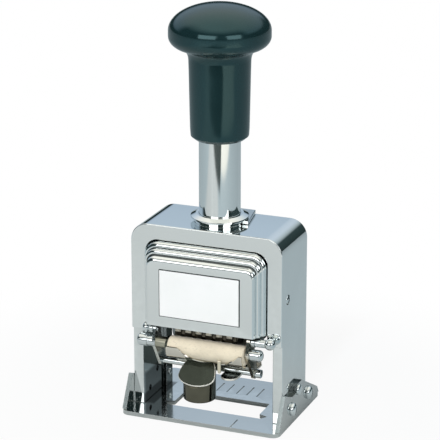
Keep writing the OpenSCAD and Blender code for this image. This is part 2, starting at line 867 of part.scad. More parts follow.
module arm_screws() {
    color("gainsboro") for (s = [-1, 1], y = arm_screw_y) scale([s, 1, 1])
        translate([arm_x + arm_t, y, crosshead_foot + crosshead_h / 2])
            screw_x(small_head_r, small_head_t, small_shank_r, arm_t, arm_slot_deg);
}

// Pivot pin with a ball-shaped head outside the arm
module pad_pivot(head_x, head_t) {
    color("gainsboro") union() {
        bar_x(pivot_pin_r, cheek_x - pin_proud, head_x, pivot_y, pivot_z);
        translate([head_x, pivot_y, pivot_z])
            ball_x(pivot_head_r, head_t, pivot_neck_r, head_x - arm_x - arm_t);
    }
}

module pad_pivot_left() {
    scale([-1, 1, 1]) pad_pivot(arm_x + arm_t + seat_gap, short_head_t);
}

module pad_pivot_right() {
    pad_pivot(pivot_head_x, pivot_head_t);
}

module detent_rod() {
    p = polar(detent_reach, detent_deg);
    color("gray") bar_x(detent_rod_r, row_x - case_x - case_t, row_x + case_x + case_t, p[0], p[1]);
}

// One finger over the ratchet band of each wheel, on a boss about a rod
module fingers(angle, reach, rod) {
    for (i = [0 : wheel_count - 1]) {
        x = row_x - row_half + wheel_gap / 2 + i * wheel_pitch + wheel_w * (1 + digit_band_share) / 2;
        along_x(x - finger_w / 2, x + finger_w / 2) difference() {
            union() {
                translate(polar(reach, angle)) circle(rod + finger_boss);
                translate([wheel_y, wheel_z]) rotate(angle)
                    translate([finger_r, -finger_t / 2]) square([reach - finger_r, finger_t]);
            }
            translate(polar(reach, angle)) circle(rod);
        }
    }
}

module detent_fingers() {
    color("silver") fingers(detent_deg, detent_reach, detent_rod_r);
}

// Side plate of the pad carrier
module cheek() {
    color("lightgray") along_x(cheek_x, cheek_x + cheek_t) difference() {
        union() {
            link2d([pivot_y, pivot_z], cheek_top_r, [nose_y, bar_z], cheek_nose_r);
            link2d([nose_y, bar_z], cheek_nose_r, [rod_y, rod_z], rod_boss_r);
            link2d([pivot_y, pivot_z], cheek_top_r, [rod_y, rod_z], rod_boss_r);
        }
        translate([pivot_y, pivot_z]) circle(pivot_pin_r + running_gap);
        translate([nose_y, bar_z]) circle(bar_r);
        translate([rod_y, rod_z]) circle(rod_r);
    }
}

module pad_cheek_left() {
    scale([-1, 1, 1]) cheek();
}

module pad_cheek_right() {
    cheek();
}

module pad_bar() {
    neck_x = cheek_x + cheek_t;
    color("gainsboro") union() {
        bar_x(bar_r, -neck_x - cut, neck_x + bar_end, nose_y, bar_z);
        bar_x(bar_neck_r, -bar_knob_x - cut, -neck_x, nose_y, bar_z);
        translate([-bar_knob_x, nose_y, bar_z]) scale([-1, 1, 1])
            rivet_x(bar_knob_r, bar_knob_w, bar_r, cut);
    }
}

module pad_sleeve() {
    color("tan") difference() {
        bar_x(sleeve_r, -cheek_x, felt_left - ring_t, nose_y, bar_z);
        bar_x(bar_r, -cheek_x - cut, felt_left, nose_y, bar_z);
    }
}

module pad_ring() {
    color("dimgray") difference() {
        bar_x(nose_r - ring_step, felt_left - ring_t, felt_left, nose_y, nose_z);
        bar_x(bar_r, felt_left - ring_t - cut, felt_left + cut, nose_y, bar_z);
    }
}

// Cap on the bar's right end, outside the cheek
module pad_end_cap() {
    x0 = cheek_x + cheek_t;
    color("gainsboro") difference() {
        union() {
            bar_x(cap_r - cap_slit_d, x0, x0 + cap_slit_w + cut, nose_y, bar_z);
            translate([x0 + cap_slit_w, nose_y, bar_z])
                rivet_x(cap_r, cap_length - cap_slit_w, bar_r, cap_slit_w);
        }
        bar_x(bar_r, x0 - cut, x0 + bar_end, nose_y, bar_z);
    }
}

module pad_tray() {
    color("silver") difference() {
        along_x(felt_left, felt_right) union() {
            translate([wheel_y, wheel_z]) sector2d(felt_outer_r, tray_outer_r, felt_from_deg, tray_to_deg);
            translate([nose_y, nose_z]) sector2d(nose_r, nose_r + tray_t, lip_from_deg, lip_to_deg);
        }
        bar_y(lip_cut_r, nose_y - 3 * nose_r, nose_y, lip_cut_x, lip_cut_z);
    }
}

module felt_pad() {
    color("wheat") difference() {
        along_x(felt_left, felt_right) union() {
            translate([nose_y, nose_z]) circle(nose_r);
            translate([wheel_y, wheel_z]) sector2d(felt_inner_r, felt_outer_r, felt_from_deg, felt_to_deg);
        }
        bar_x(bar_r, felt_left - cut, felt_right + cut, nose_y, bar_z);
    }
}

module pad_rod() {
    x1 = cheek_x + cheek_t;
    color("gainsboro") union() {
        bar_x(rod_r, -x1, x1, rod_y, rod_z);
        bar_x(rod_head_r, x1, x1 + rod_head_t, rod_y, rod_z);
    }
}

// Room that the tray takes up around the rolled front
module tray_room() {
    bar_x(nose_r + tray_t, -base_x, base_x, nose_y, nose_z);
}

// Thumb tab: a spade that slopes from the tray down to a round front rim
module thumb_tab() {
    rim = pull_knob_r + tab_overhang;
    front = rim * tab_front_share;
    top = tab_length + tab_overhang;
    color("darkslategray") difference() {
        translate([pull_knob_x, tab_front_y, tab_front_z]) rotate([tab_tilt_deg, 0, 0])
            translate([0, -tab_lip, -tab_t]) linear_extrude(tab_t) polygon(concat(
                [for (a = [180 : 15 : 360]) [rim * cos(a), front + front * sin(a)]],
                [[rim * tab_top_share, top], [-rim * tab_top_share, top]]));
        tray_room();
    }
}

// Half round knob under the tab, its flat back to the rear
module pull_knob() {
    color("black") difference() {
        translate([pull_knob_x, pull_knob_y, pull_knob_foot]) union() {
            cylinder(r1 = pull_knob_r - knob_edge, r2 = pull_knob_r, h = knob_edge);
            translate([0, 0, knob_edge]) cylinder(r = pull_knob_r, h = nose_z - pull_knob_foot);
        }
        block([-base_x, pull_knob_y + pull_knob_back, pull_knob_foot - cut],
            [base_x, base_back, frame_top]);
        translate([0, tab_front_y, tab_front_z]) rotate([tab_tilt_deg, 0, 0])
            block([-base_x, -base_back, -tab_t], [base_x, base_back, base_w]);
        tray_room();
    }
}

// Strip on the tray's front edge, its foot hanging free
module pad_clip() {
    front = nose_y - nose_r - tray_t + clip_set - clip_strip_t / 2;
    color("gold") difference() {
        block([clip_x - clip_w / 2, front, nose_z - clip_low],
            [clip_x + clip_w / 2, front + clip_strip_t, nose_z - clip_high]);
        tray_room();
    }
}

module release_tongue() {
    y = rod_y - tongue_reach;
    color("dimgray") difference() {
        union() {
            translate([tongue_x, y, tongue_z]) cylinder(r = tongue_r, h = tongue_t);
            block([tongue_x - tongue_r * tangent_share, y, tongue_z],
                [tongue_x + tongue_r * tangent_share, rod_y, tongue_z + tongue_t]);
        }
        bar_x(rod_r, tongue_x - 2 * tongue_r, tongue_x + 2 * tongue_r, rod_y, rod_z);
    }
}

// Point at a radius, turned by a share of the wheel's digits
function spoke(r, i) = r * [cos(i * 360 / digits), sin(i * 360 / digits)];

// One number wheel, its axis along X and its left face on x = 0
module wheel() {
    band = wheel_w * digit_band_share;
    body_r = wheel_r - digit_proud;
    ratchet_r = body_r - ratchet_step;
    color("slategray") difference() {
        union() {
            bar_x(body_r, 0, band, 0, 0);
            intersection() {
                bar_x(wheel_r, block_margin, band - block_margin, 0, 0);
                for (i = [0 : digits - 1]) rotate([i * 360 / digits, 0, 0])
                    block([block_margin, -block_h / 2, body_r - cut],
                        [band - block_margin, block_h / 2, wheel_r + cut]);
            }
            along_x(band / 2, wheel_w) polygon([for (i = [0 : digits - 1]) each [
                spoke(ratchet_r, i), spoke(ratchet_r - ratchet_depth, i + 0.1),
                spoke(ratchet_r - ratchet_depth / 2, i + 0.5)]]);
        }
        bar_x(shaft_r + running_gap, -cut, wheel_w + cut, 0, 0);
    }
}

// Wheel number n, counted from the left
module placed_wheel(n) {
    translate([row_x - row_half + wheel_gap / 2 + (n - 1) * wheel_pitch, wheel_y, wheel_z]) wheel();
}

module pawl_lever(x0) {
    color("silver") along_x(x0, x0 + lever_t) difference() {
        link2d([wheel_y, wheel_z], lever_hub_r, polar(pawl_reach, pawl_deg), case_ear_r);
        translate([wheel_y, wheel_z]) circle(shaft_r + running_gap);
        translate(polar(pawl_reach, pawl_deg)) circle(pawl_bar_r);
    }
}

module pawl_lever_left() {
    pawl_lever(row_x - lever_x - lever_t);
}

module pawl_lever_right() {
    pawl_lever(row_x + lever_x);
}

module pawl_comb() {
    p = polar(pawl_reach, pawl_deg);
    color("silver") union() {
        bar_x(pawl_bar_r, row_x - lever_x - lever_t, row_x + lever_x + lever_t, p[0], p[1]);
        fingers(pawl_deg, pawl_reach, pawl_bar_r);
    }
}

frame();
base_plate();
front_cover();
label_plate();
back_cover();
guide_bush();
cover_screws();
ear_screws();
ear_rivets();
bump_ring();
spring_bridge();
bridge_screws();
left_rail();
right_rail();
rail_screws();
stop_latch();
return_spring();
knob();
plunger_tube();
tube_plug();
knob_stud();
crosshead();
crosshead_screws();
wheel_case_left();
wheel_case_right();
case_spacer();
wheel_shaft();
shaft_clips();
pad_arm_left();
pad_arm_right();
arm_screws();
pad_pivot_left();
pad_pivot_right();
detent_rod();
detent_fingers();
pad_cheek_left();
pad_cheek_right();
pad_bar();
pad_sleeve();
pad_ring();
pad_end_cap();
pad_tray();
felt_pad();
pad_rod();
thumb_tab();
pull_knob();
pad_clip();
release_tongue();
placed_wheel(1);  // wheel_1
placed_wheel(2);  // wheel_2
placed_wheel(3);  // wheel_3
placed_wheel(4);  // wheel_4
placed_wheel(5);  // wheel_5
placed_wheel(6);  // wheel_6
pawl_lever_left();
pawl_lever_right();
pawl_comb();
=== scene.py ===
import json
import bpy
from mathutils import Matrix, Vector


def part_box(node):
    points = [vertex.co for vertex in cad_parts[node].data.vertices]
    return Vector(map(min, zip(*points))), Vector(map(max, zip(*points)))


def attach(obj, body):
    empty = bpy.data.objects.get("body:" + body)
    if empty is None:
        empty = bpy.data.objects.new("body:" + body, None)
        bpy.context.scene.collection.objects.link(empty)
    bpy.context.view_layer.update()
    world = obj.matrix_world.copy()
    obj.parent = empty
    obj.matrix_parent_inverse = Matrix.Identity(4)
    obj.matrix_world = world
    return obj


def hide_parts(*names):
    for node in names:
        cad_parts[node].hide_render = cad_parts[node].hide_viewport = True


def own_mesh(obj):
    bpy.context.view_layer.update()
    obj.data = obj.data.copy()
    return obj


bl_info = {
    "name": "Numbering machine",
    "version": (1, 1, 0),
    "blender": (4, 5, 0),
    "location": "View3D > Sidebar > Numbering machine",
    "description": "Dresses a desk numbering machine around its packed frame",
    "category": "Object",
}

from math import asin, atan2, cos, degrees, hypot, pi, radians, sin, sqrt, tan

import bmesh
import bpy
from bpy.props import FloatProperty, FloatVectorProperty, IntProperty, PointerProperty
from mathutils import Matrix, Vector, noise

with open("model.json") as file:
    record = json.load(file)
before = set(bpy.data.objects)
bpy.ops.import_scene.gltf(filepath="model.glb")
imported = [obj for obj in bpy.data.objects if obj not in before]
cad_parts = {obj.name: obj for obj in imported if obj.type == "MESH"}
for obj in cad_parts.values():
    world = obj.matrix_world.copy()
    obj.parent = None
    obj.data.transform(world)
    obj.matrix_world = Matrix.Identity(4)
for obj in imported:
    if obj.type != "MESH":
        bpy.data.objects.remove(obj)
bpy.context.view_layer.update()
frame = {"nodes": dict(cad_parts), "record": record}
NODES = frame["nodes"]
MM = 0.001
BODY_OF = {n: b for b, ns in frame["record"]["behaviour"]["bodies"].items() for n in ns}


def extent(node):
    """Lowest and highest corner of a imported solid, in millimetres."""
    low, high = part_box(node)
    return [c / MM for c in low], [c / MM for c in high]


def span(node, axis=2):
    """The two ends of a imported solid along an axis, in millimetres."""
    return [corner[axis] for corner in extent(node)]


def middle_of(node):
    """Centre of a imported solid's box, in millimetres."""
    return [(a + b) / 2 for a, b in zip(*extent(node))]


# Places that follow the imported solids, in millimetres
LEG_X, FRAME_TOP = extent("frame")[1][0], extent("frame")[1][2]
EAR_X = extent("base_plate")[1][0]
COVER_LOW, COVER_HIGH = extent("front_cover")
KNOB_FOOT, KNOB_TOP = span("knob")
TUBE_R = extent("plunger_tube")[1][0]
TUBE_FOOT, TUBE_HEAD = span("plunger_tube")
FELT_LEFT, FELT_RIGHT = span("felt_pad", 0)
ROD_Y, ROD_Z = middle_of("pad_rod")[1:]
BAR_Y, BAR_Z = middle_of("pad_bar")[1:]

# Centres and radii that several pieces share, in millimetres
WHEEL_Y, WHEEL_Z, WHEEL_R, SHAFT_R = -3.4, 33.0, 10.0, 2.5
NOSE_Y, NOSE_Z, NOSE_R, TRAY_R = -18.4, 30.2, 4.0, 4.7
FELT_IN_R, FELT_OUT_R, TRAY_OUT_R = 10.3, 12.5, 13.2
PIVOT_Y, PIVOT_Z = -17.3, 35.8
BAR_R, ROD_R, SCREW_R = 1.5, 1.3, 1.2


def size(name, note, value, low, high, kind=FloatProperty):
    return kind(name=name, description=note, default=value, min=low, max=high)


class MachineSizes(bpy.types.PropertyGroup):
    """Sizes of the small details"""

    edge: size("Edge", "Roundness of plate edges, mm", 0.45, 0.05, 1)
    fine_edge: size("Fine edge", "Roundness of thin sheet edges, mm", 0.16, 0.02, 0.5)
    cover_edge: size("Cover edge", "Roundness of the cover's steps, as a share", 1, 0.3, 1.1)
    arc_parts: size("Arc parts", "Facets in a rounded edge", 5, 1, 10, IntProperty)
    turned_parts: size("Turned parts", "Facets around a turned piece", 72, 12, 160, IntProperty)
    digit_height: size("Digit height", "Height of the wheels' numerals, mm", 3.5, 2, 4)
    felt_nap: size("Felt nap", "Unevenness of the felt, mm", 0.07, 0, 0.2)


def colour(name, note, value):
    return FloatVectorProperty(name=name, description=note, subtype="COLOR", default=value)


class MachineColours(bpy.types.PropertyGroup):
    """Base colours of the finishes"""

    chrome: colour("Chrome", "Chrome plate", (0.80, 0.83, 0.83))
    steel: colour("Steel", "Bright steel", (0.64, 0.68, 0.69))
    inked: colour("Inked steel", "Wheels dulled by ink", (0.12, 0.11, 0.085))
    # Painted reflection: the numerals' pale cream stands in for the felt and lamplight reflected in their
    # polished faces
    digit: colour("Digits", "Worn digit faces", (0.95, 0.90, 0.74))
    # Painted shade: the cut colour darkens the ears' narrow edges and, dimmed, the cover's grooves, standing
    # in for dark reflections
    cut: colour("Cut edge", "Dull cut edges of the base", (0.30, 0.34, 0.34))
    knob: colour("Knob", "Palm knob", (0.007, 0.021, 0.023))
    tab: colour("Tab", "Dark finger tab", (0.072, 0.084, 0.070))
    pull: colour("Pull knob", "Knob under the tab", (0.15, 0.145, 0.11))
    # Partly painted highlight: the cream rims stand for worn edges and for the light their rounded edges catch
    rim: colour("Rim", "Worn bright rims", (0.93, 0.90, 0.82))
    # Partly painted reflection: the tray's warm tint stands in for the felt reflected in its plating
    tray: colour("Tray", "Warm plated tray", (0.74, 0.70, 0.62))
    felt: colour("Felt", "Ink felt", (0.80, 0.715, 0.55))
    label: colour("Label", "Blank label", (0.93, 0.94, 0.93))
    outline: colour("Outline", "Label outline", (0.02, 0.03, 0.03))
    sleeve: colour("Sleeve", "Dull bar sleeve", (0.46, 0.45, 0.36))
    brass: colour("Brass", "Clip", (0.85, 0.78, 0.62))
    rubber: colour("Rubber", "Bump ring", (0.02, 0.02, 0.02))
    floor: colour("Floor", "Studio floor", (0.60, 0.63, 0.62))


def sizes():
    return bpy.context.scene.machine_sizes


def colours():
    return bpy.context.scene.machine_colours


def rounded(points, radii, parts=5, closed=True):
    """Points of an outline with its corners turned into arcs."""
    n = len(points)
    if isinstance(radii, (int, float)):
        radii = [radii] * n
    out = []
    for i, r in enumerate(radii):
        p = Vector(points[i])
        if r <= 0 or (not closed and i in (0, n - 1)):
            out.append(p)
            continue
        a = (Vector(points[i - 1]) - p).normalized()
        b = (Vector(points[(i + 1) % n]) - p).normalized()
        half = a.angle(b) / 2
        if abs(half - pi / 2) < 0.01:
            out.append(p)
            continue
        start = p + a * r / tan(half)
        centre = p + (a + b).normalized() * r / sin(half)
        turn = pi - 2 * half
        if a.cross(b) >= 0:
            turn = -turn
        spoke = start - centre
        for k in range(parts + 1):
            t = turn * k / parts
            c, s = cos(t), sin(t)
            out.append(centre + Vector((spoke.x * c - spoke.y * s, spoke.x * s + spoke.y * c)))
    return out


def arc(x, y, r, start, end, parts=12):
    """Points along an arc, angles in degrees."""
    turns = [radians(start + (end - start) * k / parts) for k in range(parts + 1)]
    return [Vector((x + r * cos(t), y + r * sin(t))) for t in turns]


def inset(loop, d):
    """The outline moved into the material by d; a counter-clockwise outline shrinks."""
    out = []
    for i, p in enumerate(loop):
        a = (p - loop[i - 1]).normalized()
        b = (loop[(i + 1) % len(loop)] - p).normalized()
        na, nb = Vector((-a.y, a.x)), Vector((-b.y, b.x))
        out.append(p + (na + nb) * d / max(0.35, 1 + na.dot(nb)))
    return out


PLANES = {
    "xy": lambda u, v, w: (u, v, w),
    "xz": lambda u, v, w: (u, w, v),
    "yz": lambda u, v, w: (w, u, v),
}


def slab(bm, outline, low, high, edge, plane, parts):
    """Plate between two levels with rounded edges. Returns its faces."""
    loop = [Vector(p) for p in outline]
    quarter = [pi / 2 * k / parts for k in range(parts + 1)]
    levels = [(low + edge * (1 - cos(t)), edge * (1 - sin(t))) for t in quarter]
    levels += [(high - edge * (1 - cos(t)), edge * (1 - sin(t))) for t in reversed(quarter)]
    return lofted(bm, [[PLANES[plane](p.x, p.y, w) for p in inset(loop, d)] for w, d in levels])


def lofted(bm, rows):
    """Skin over closed rows of points in millimetres, filled at both ends."""
    grid = [[bm.verts.new([c * MM for c in p]) for p in row] for row in rows]
    n = len(grid[0])
    faces = []
    for a, b in zip(grid, grid[1:]):
        for i in range(n):
            faces.append(bm.faces.new((a[i], a[(i + 1) % n], b[(i + 1) % n], b[i])))
    for row in (grid[0], grid[-1]):
        rim = [bm.edges.get((row[i], row[(i + 1) % n])) for i in range(n)]
        fill = bmesh.ops.triangle_fill(bm, use_beauty=True, use_dissolve=False, edges=rim)
        faces += [f for f in fill["geom"] if isinstance(f, bmesh.types.BMFace)]
    bmesh.ops.recalc_face_normals(bm, faces=faces)
    return faces


def turned(bm, profile, centre=(0, 0, 0), axis="z", flip=False, parts=None):
    """Revolves (radius, height) points about an axis through the centre."""
    parts = parts or sizes().turned_parts
    rows = []
    for r, h in profile:
        h = -h if flip else h
        row = []
        for k in range(parts if r > 1e-6 else 1):
            t = 2 * pi * k / parts
            c, s = r * cos(t), r * sin(t)
            p = (h, c, s) if axis == "x" else (c, s, h)
            row.append(bm.verts.new([(q + o) * MM for q, o in zip(p, centre)]))
        rows.append(row)
    for a, b in zip(rows, rows[1:]):
        for k in range(parts):
            m = (k + 1) % parts
            if len(a) > 1 and len(b) > 1:
                bm.faces.new((a[k], a[m], b[m], b[k]))
            elif len(a) > 1:
                bm.faces.new((a[k], a[m], b[0]))
            elif len(b) > 1:
                bm.faces.new((a[0], b[m], b[k]))
    bmesh.ops.remove_doubles(bm, verts=bm.verts, dist=1e-7)
    bmesh.ops.recalc_face_normals(bm, faces=bm.faces)


def soft_path(points, radius, parts=3):
    """An open profile with its inner corners rounded."""
    return [tuple(p) for p in rounded(points, radius, parts, closed=False)]


def rod_path(r, low, high, edge, parts=3):
    """Profile of a solid round bar with softened ends."""
    return soft_path([(0, low), (r, low), (r, high), (0, high)], edge, parts)


def tube_path(r_in, r_out, low, high, edge):
    """Closed profile of a tube or ring with softened rims."""
    loop = [tuple(p) for p in rounded([(r_out, low), (r_out, high), (r_in, high), (r_in, low)], edge, 3)]
    return loop + [loop[0]]


def dome_path(r, start, rise, angles, inner=0):
    """Profile of a dome above a start height; angles in degrees from its rim."""
    return [(inner + r * cos(t), start + rise * sin(t)) for t in map(radians, angles)]


def block(bm, low, high):
    """Box between two corners in millimetres."""
    cube = bmesh.ops.create_cube(bm, size=1)
    span = Vector(high) - Vector(low)
    middle = (Vector(high) + Vector(low)) / 2
    for v in cube["verts"]:
        v.co = Vector([(c * s + m) * MM for c, s, m in zip(v.co, span, middle)])


def held(name, bm):
    """A mesh under construction as an object of the scene."""
    mesh = bpy.data.meshes.new(name)
    bm.to_mesh(mesh)
    bm.free()
    thing = bpy.data.objects.new(name, mesh)
    bpy.context.scene.collection.objects.link(thing)
    return thing


def settled(thing):
    """The mesh of an object with its modifiers applied."""
    graph = bpy.context.evaluated_depsgraph_get()
    return bpy.data.meshes.new_from_object(thing.evaluated_get(graph), preserve_all_data_layers=True,
                                           depsgraph=graph)


def carved(bm, *cutters):
    """The mesh with closed cutters taken away."""
    body = held("carved_body", bm)
    tools = [held("carving_tool", c) for c in cutters]
    for tool in tools:
        cut = body.modifiers.new("cut", "BOOLEAN")
        cut.object = tool
        cut.operation = "DIFFERENCE"
        cut.solver = "EXACT"
    mesh = settled(body)
    out = bmesh.new()
    out.from_mesh(mesh)
    bpy.data.meshes.remove(mesh)
    for thing in [body] + tools:
        data = thing.data
        bpy.data.objects.remove(thing)
        bpy.data.meshes.remove(data)
    return out


def made(shape, *values, **named):
    """A new mesh of one shape."""
    bm = bmesh.new()
    shape(bm, *values, **named)
    return bm


def round_bar(bm, r, start, end, centre, axis="x", parts=48):
    """Plain round bar, for carving."""
    turned(bm, [(0, start), (r, start), (r, end), (0, end)], centre, axis, parts=parts)


def evened(piece):
    """Gives a piece normals that follow its large faces, so that flats and tubes reflect without a bend."""
    step = piece.modifiers.new("even_normals", "WEIGHTED_NORMAL")
    step.keep_sharp = True
    step.weight = 80
    mesh = settled(piece)
    piece.modifiers.clear()
    plain = piece.data
    piece.data = mesh
    mesh.name = plain.name
    bpy.data.meshes.remove(plain)


def stand_in(node, bm, finishes, smooth=32):
    """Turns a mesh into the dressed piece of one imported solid, in the finishes named, riding on its body."""
    bmesh.ops.remove_doubles(bm, verts=bm.verts, dist=1e-7)
    piece = held("dressed_" + node, bm)
    piece.data.shade_smooth()
    piece.data.set_sharp_from_angle(angle=radians(smooth))
    evened(piece)
    for name in finishes.split():
        piece.data.materials.append(FINISHES[name])
    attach(piece, BODY_OF[node])
    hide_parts(node)
    return piece


def softened(node, finish, width, parts=2, cut=None):
    """Copy of a solid with its sharp edges rounded; the cut finish, painted shade for the dark reflections
    along them, goes on the narrow edges of its ears.
    """
    bm = bmesh.new()
    bm.from_mesh(NODES[node].data)
    bmesh.ops.remove_doubles(bm, verts=bm.verts, dist=1e-6)
    bmesh.ops.dissolve_limit(bm, angle_limit=radians(0.5), verts=bm.verts, edges=bm.edges)
    chosen = [e for e in bm.edges if len(e.link_faces) == 2 and e.calc_face_angle(0) >= radians(30)
              and e.calc_length() >= 0.5 * MM]
    bmesh.ops.bevel(bm, geom=chosen, offset=width * MM, segments=parts, profile=0.5, affect="EDGES",
                    clamp_overlap=True)
    for f in bm.faces if cut else ():
        middle = f.calc_center_median() / MM
        if abs(middle.x) > LEG_X and middle.z > 2.5 and abs(f.normal.x) < 0.5:
            f.material_index = 1
    stand_in(node, bm, finish + " " + cut if cut else finish)


def lathe(node, finish, profile, centre=(0, 0, 0), axis="z", flip=False, cutters=(), parts=None, smooth=32):
    """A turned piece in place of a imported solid."""
    bm = made(turned, profile, centre, axis, flip, parts)
    stand_in(node, carved(bm, *cutters) if cutters else bm, finish, smooth)


def rim_finish(faces, limit):
    """Gives the faces around a level plate's edge the second finish."""
    for f in faces:
        if abs(f.normal.z) < limit:
            f.material_index = 1


def feed(tree, socket, value):
    """Links a socket, or sets a plain value."""
    if isinstance(value, bpy.types.NodeSocket):
        tree.links.new(value, socket)
    else:
        socket.default_value = value


def add(tree, kind, inputs=(), **settings):
    """A new shader node with its settings and inputs."""
    node = tree.nodes.new("ShaderNode" + kind)
    for key, value in settings.items():
        setattr(node, key, value)
    for key, value in dict(inputs).items():
        feed(tree, node.inputs[key], value)
    return node


def mapped(tree, value, low, high, start=0.0, end=1.0, smooth=False):
    """A value taken from one range to another."""
    ends = {"From Min": low, "From Max": high, "To Min": start, "To Max": end}
    kind = "SMOOTHSTEP" if smooth else "LINEAR"
    return add(tree, "MapRange", {"Value": value, **ends}, interpolation_type=kind).outputs["Result"]


def mixed(tree, mask, one, two):
    """Two colours, or colour sockets, mixed by a mask."""
    ends = [v if isinstance(v, bpy.types.NodeSocket) else (*v, 1.0) for v in (one, two)]
    return add(tree, "Mix", {"Factor": mask, 6: ends[0], 7: ends[1]}, data_type="RGBA").outputs[2]


def patch(tree, place, centre, turn, half, soft, diamond=False):
    """Mask of a soft box or diamond: its centre, turn about Z in degrees, half sizes and softness."""
    fit = add(tree, "Mapping", {0: place, "Location": centre, "Rotation": (0, 0, radians(turn)),
                                "Scale": half}, vector_type="TEXTURE")
    plus = add(tree, "VectorMath", {0: fit.outputs[0]}, operation="ABSOLUTE")
    split = add(tree, "SeparateXYZ", {0: plus.outputs[0]}).outputs
    join = add(tree, "Math", {0: split["X"], 1: split["Y"]}, operation="ADD" if diamond else "MAXIMUM")
    whole = add(tree, "Math", {0: join.outputs[0], 1: split["Z"]}, operation="MAXIMUM")
    return mapped(tree, whole.outputs[0], 1 - soft, 1 + soft, 1.0, 0.0, smooth=True)


def ramp(tree, height, stops):
    """Colour by height; each stop is the sine of the height above the horizon and a colour."""
    node = add(tree, "ValToRGB", {0: height})
    ends = node.color_ramp.elements
    places = [((z + 1) / 2, (*tint, 1)) for z, tint in stops]
    ends[0].position, ends[0].color = places[0]
    ends[1].position, ends[1].color = places[-1]
    for position, tint in places[1:-1]:
        ends.new(position).color = tint
    return node.outputs[0]


def grain(tree, given):
    """Fine grain and broad clouding from the solid's own coordinates."""
    place = add(tree, "TexCoord").outputs["Object"]
    masks = {}
    for key, out, detail in (("Fine scale", "Grain", 3.0), ("Cloud scale", "Clouds", 2.0)):
        spots = add(tree, "TexNoise", {"Vector": place, "Scale": given[key], "Detail": detail})
        masks[out] = spots.outputs["Fac"]
    return masks


def drawn_lines(tree, given):
    """Drawn or turned lines: noise stretched along one direction."""
    place = add(tree, "TexCoord").outputs["Object"]
    stretch = add(tree, "CombineXYZ", {axis: given["Along " + axis] for axis in "XYZ"})
    times = add(tree, "VectorMath", {0: place, 1: stretch.outputs[0]}, operation="MULTIPLY")
    streaks = add(tree, "TexNoise", {"Vector": times.outputs[0], "Scale": 1.0, "Detail": 2.0})
    return {"Lines": streaks.outputs["Fac"]}


def edge_wear(tree, given):
    """Mask of worn outer edges, broken up by noise."""
    place = add(tree, "TexCoord").outputs["Object"]
    chips = add(tree, "TexNoise", {"Vector": place, "Scale": given["Scale"], "Detail": 2.0})
    sharp = add(tree, "NewGeometry").outputs["Pointiness"]
    over = add(tree, "Math", {0: sharp, 1: given["Threshold"]}, operation="SUBTRACT")
    gain = add(tree, "Math", {0: over.outputs[0], 1: 14.0}, operation="MULTIPLY", use_clamp=True)
    broken = add(tree, "Math", {0: gain.outputs[0], 1: chips.outputs["Fac"]}, operation="MULTIPLY")
    return {"Mask": broken.outputs[0]}


# How each shared effect is filled, its inputs and its outputs
EFFECTS = {
    "Grain and clouding": (grain, {"Fine scale": 900.0, "Cloud scale": 60.0}, ("Grain", "Clouds")),
    "Drawn lines": (drawn_lines, {"Along X": 40.0, "Along Y": 40.0, "Along Z": 40.0}, ("Lines",)),
    "Edge wear": (edge_wear, {"Scale": 400.0, "Threshold": 0.53}, ("Mask",)),
}


def effect_group(name):
    """Shader group of one shared effect, built once."""
    if name in bpy.data.node_groups:
        return bpy.data.node_groups[name]
    fill, inputs, outputs = EFFECTS[name]
    group = bpy.data.node_groups.new(name, "ShaderNodeTree")
    for label, default in inputs.items():
        socket = group.interface.new_socket(name=label, in_out="INPUT", socket_type="NodeSocketFloat")
        socket.default_value = default
    for label in outputs:
        group.interface.new_socket(name=label, in_out="OUTPUT", socket_type="NodeSocketFloat")
    source, sink = group.nodes.new("NodeGroupInput"), group.nodes.new("NodeGroupOutput")
    for label, socket in fill(group, source.outputs).items():
        group.links.new(socket, sink.inputs[label])
    return group


class Finish:
    """Builds one material step by step around a Principled shader."""

    def __init__(self, name, **plain):
        self.material = bpy.data.materials.new(name)
        self.material.use_nodes = True
        self.tree = self.material.node_tree
        self.shader = self.tree.nodes["Principled BSDF"]
        for key, value in plain.items():
            self.into(key.replace("_", " "), value)

    def into(self, key, value):
        feed(self.tree, self.shader.inputs[key], value)

    def effect(self, name, **values):
        """Outputs of a shared effect."""
        inputs = {key.replace("_", " "): value for key, value in values.items()}
        return add(self.tree, "Group", inputs, node_tree=effect_group(name)).outputs

    def spread(self, mask, low, high, start=0.3, end=0.7):
        return mapped(self.tree, mask, start, end, low, high)

    def clouded(self, clouds, one, two):
        return mixed(self.tree, self.spread(clouds, 0.0, 1.0), one, two)

    def bump(self, height, strength, distance=0.05):
        node = add(self.tree, "Bump", {"Strength": strength, "Distance": distance * MM, "Height": height})
        self.into("Normal", node.outputs["Normal"])


def shade(tint, factor):
    return tuple(min(1.0, c * factor) for c in tint)


def metal(name, tint, low, high, fine=1200.0, cloud=45.0, lines=None, dark=0.93, bump=0.05, lift=1.15,
          metallic=1.0, painted_shade=None):
    """Plated or drawn metal with clouding, lines, bright worn edges and painted shade where asked."""
    f = Finish(name, Metallic=metallic)
    spots = f.effect("Grain and clouding", Fine_scale=fine, Cloud_scale=cloud)
    tone = f.clouded(spots["Clouds"], shade(tint, dark), tint)
    tone = mixed(f.tree, f.effect("Edge wear")["Mask"], tone, shade(tint, lift))
    if painted_shade:
        # Painted shade: the metal is darkened inside the box given
        place = add(f.tree, "TexCoord").outputs["Object"]
        tone = mixed(f.tree, patch(f.tree, place, *painted_shade), tone, shade(tint, 0.28))
    f.into("Base Color", tone)
    f.into("Roughness", f.spread(spots["Clouds"], low, high))
    if lines:
        drawn = f.effect("Drawn lines", Along_X=lines[0], Along_Y=lines[1], Along_Z=lines[2])
        f.bump(drawn["Lines"], bump)
    else:
        f.bump(spots["Grain"], bump)
    return f.material


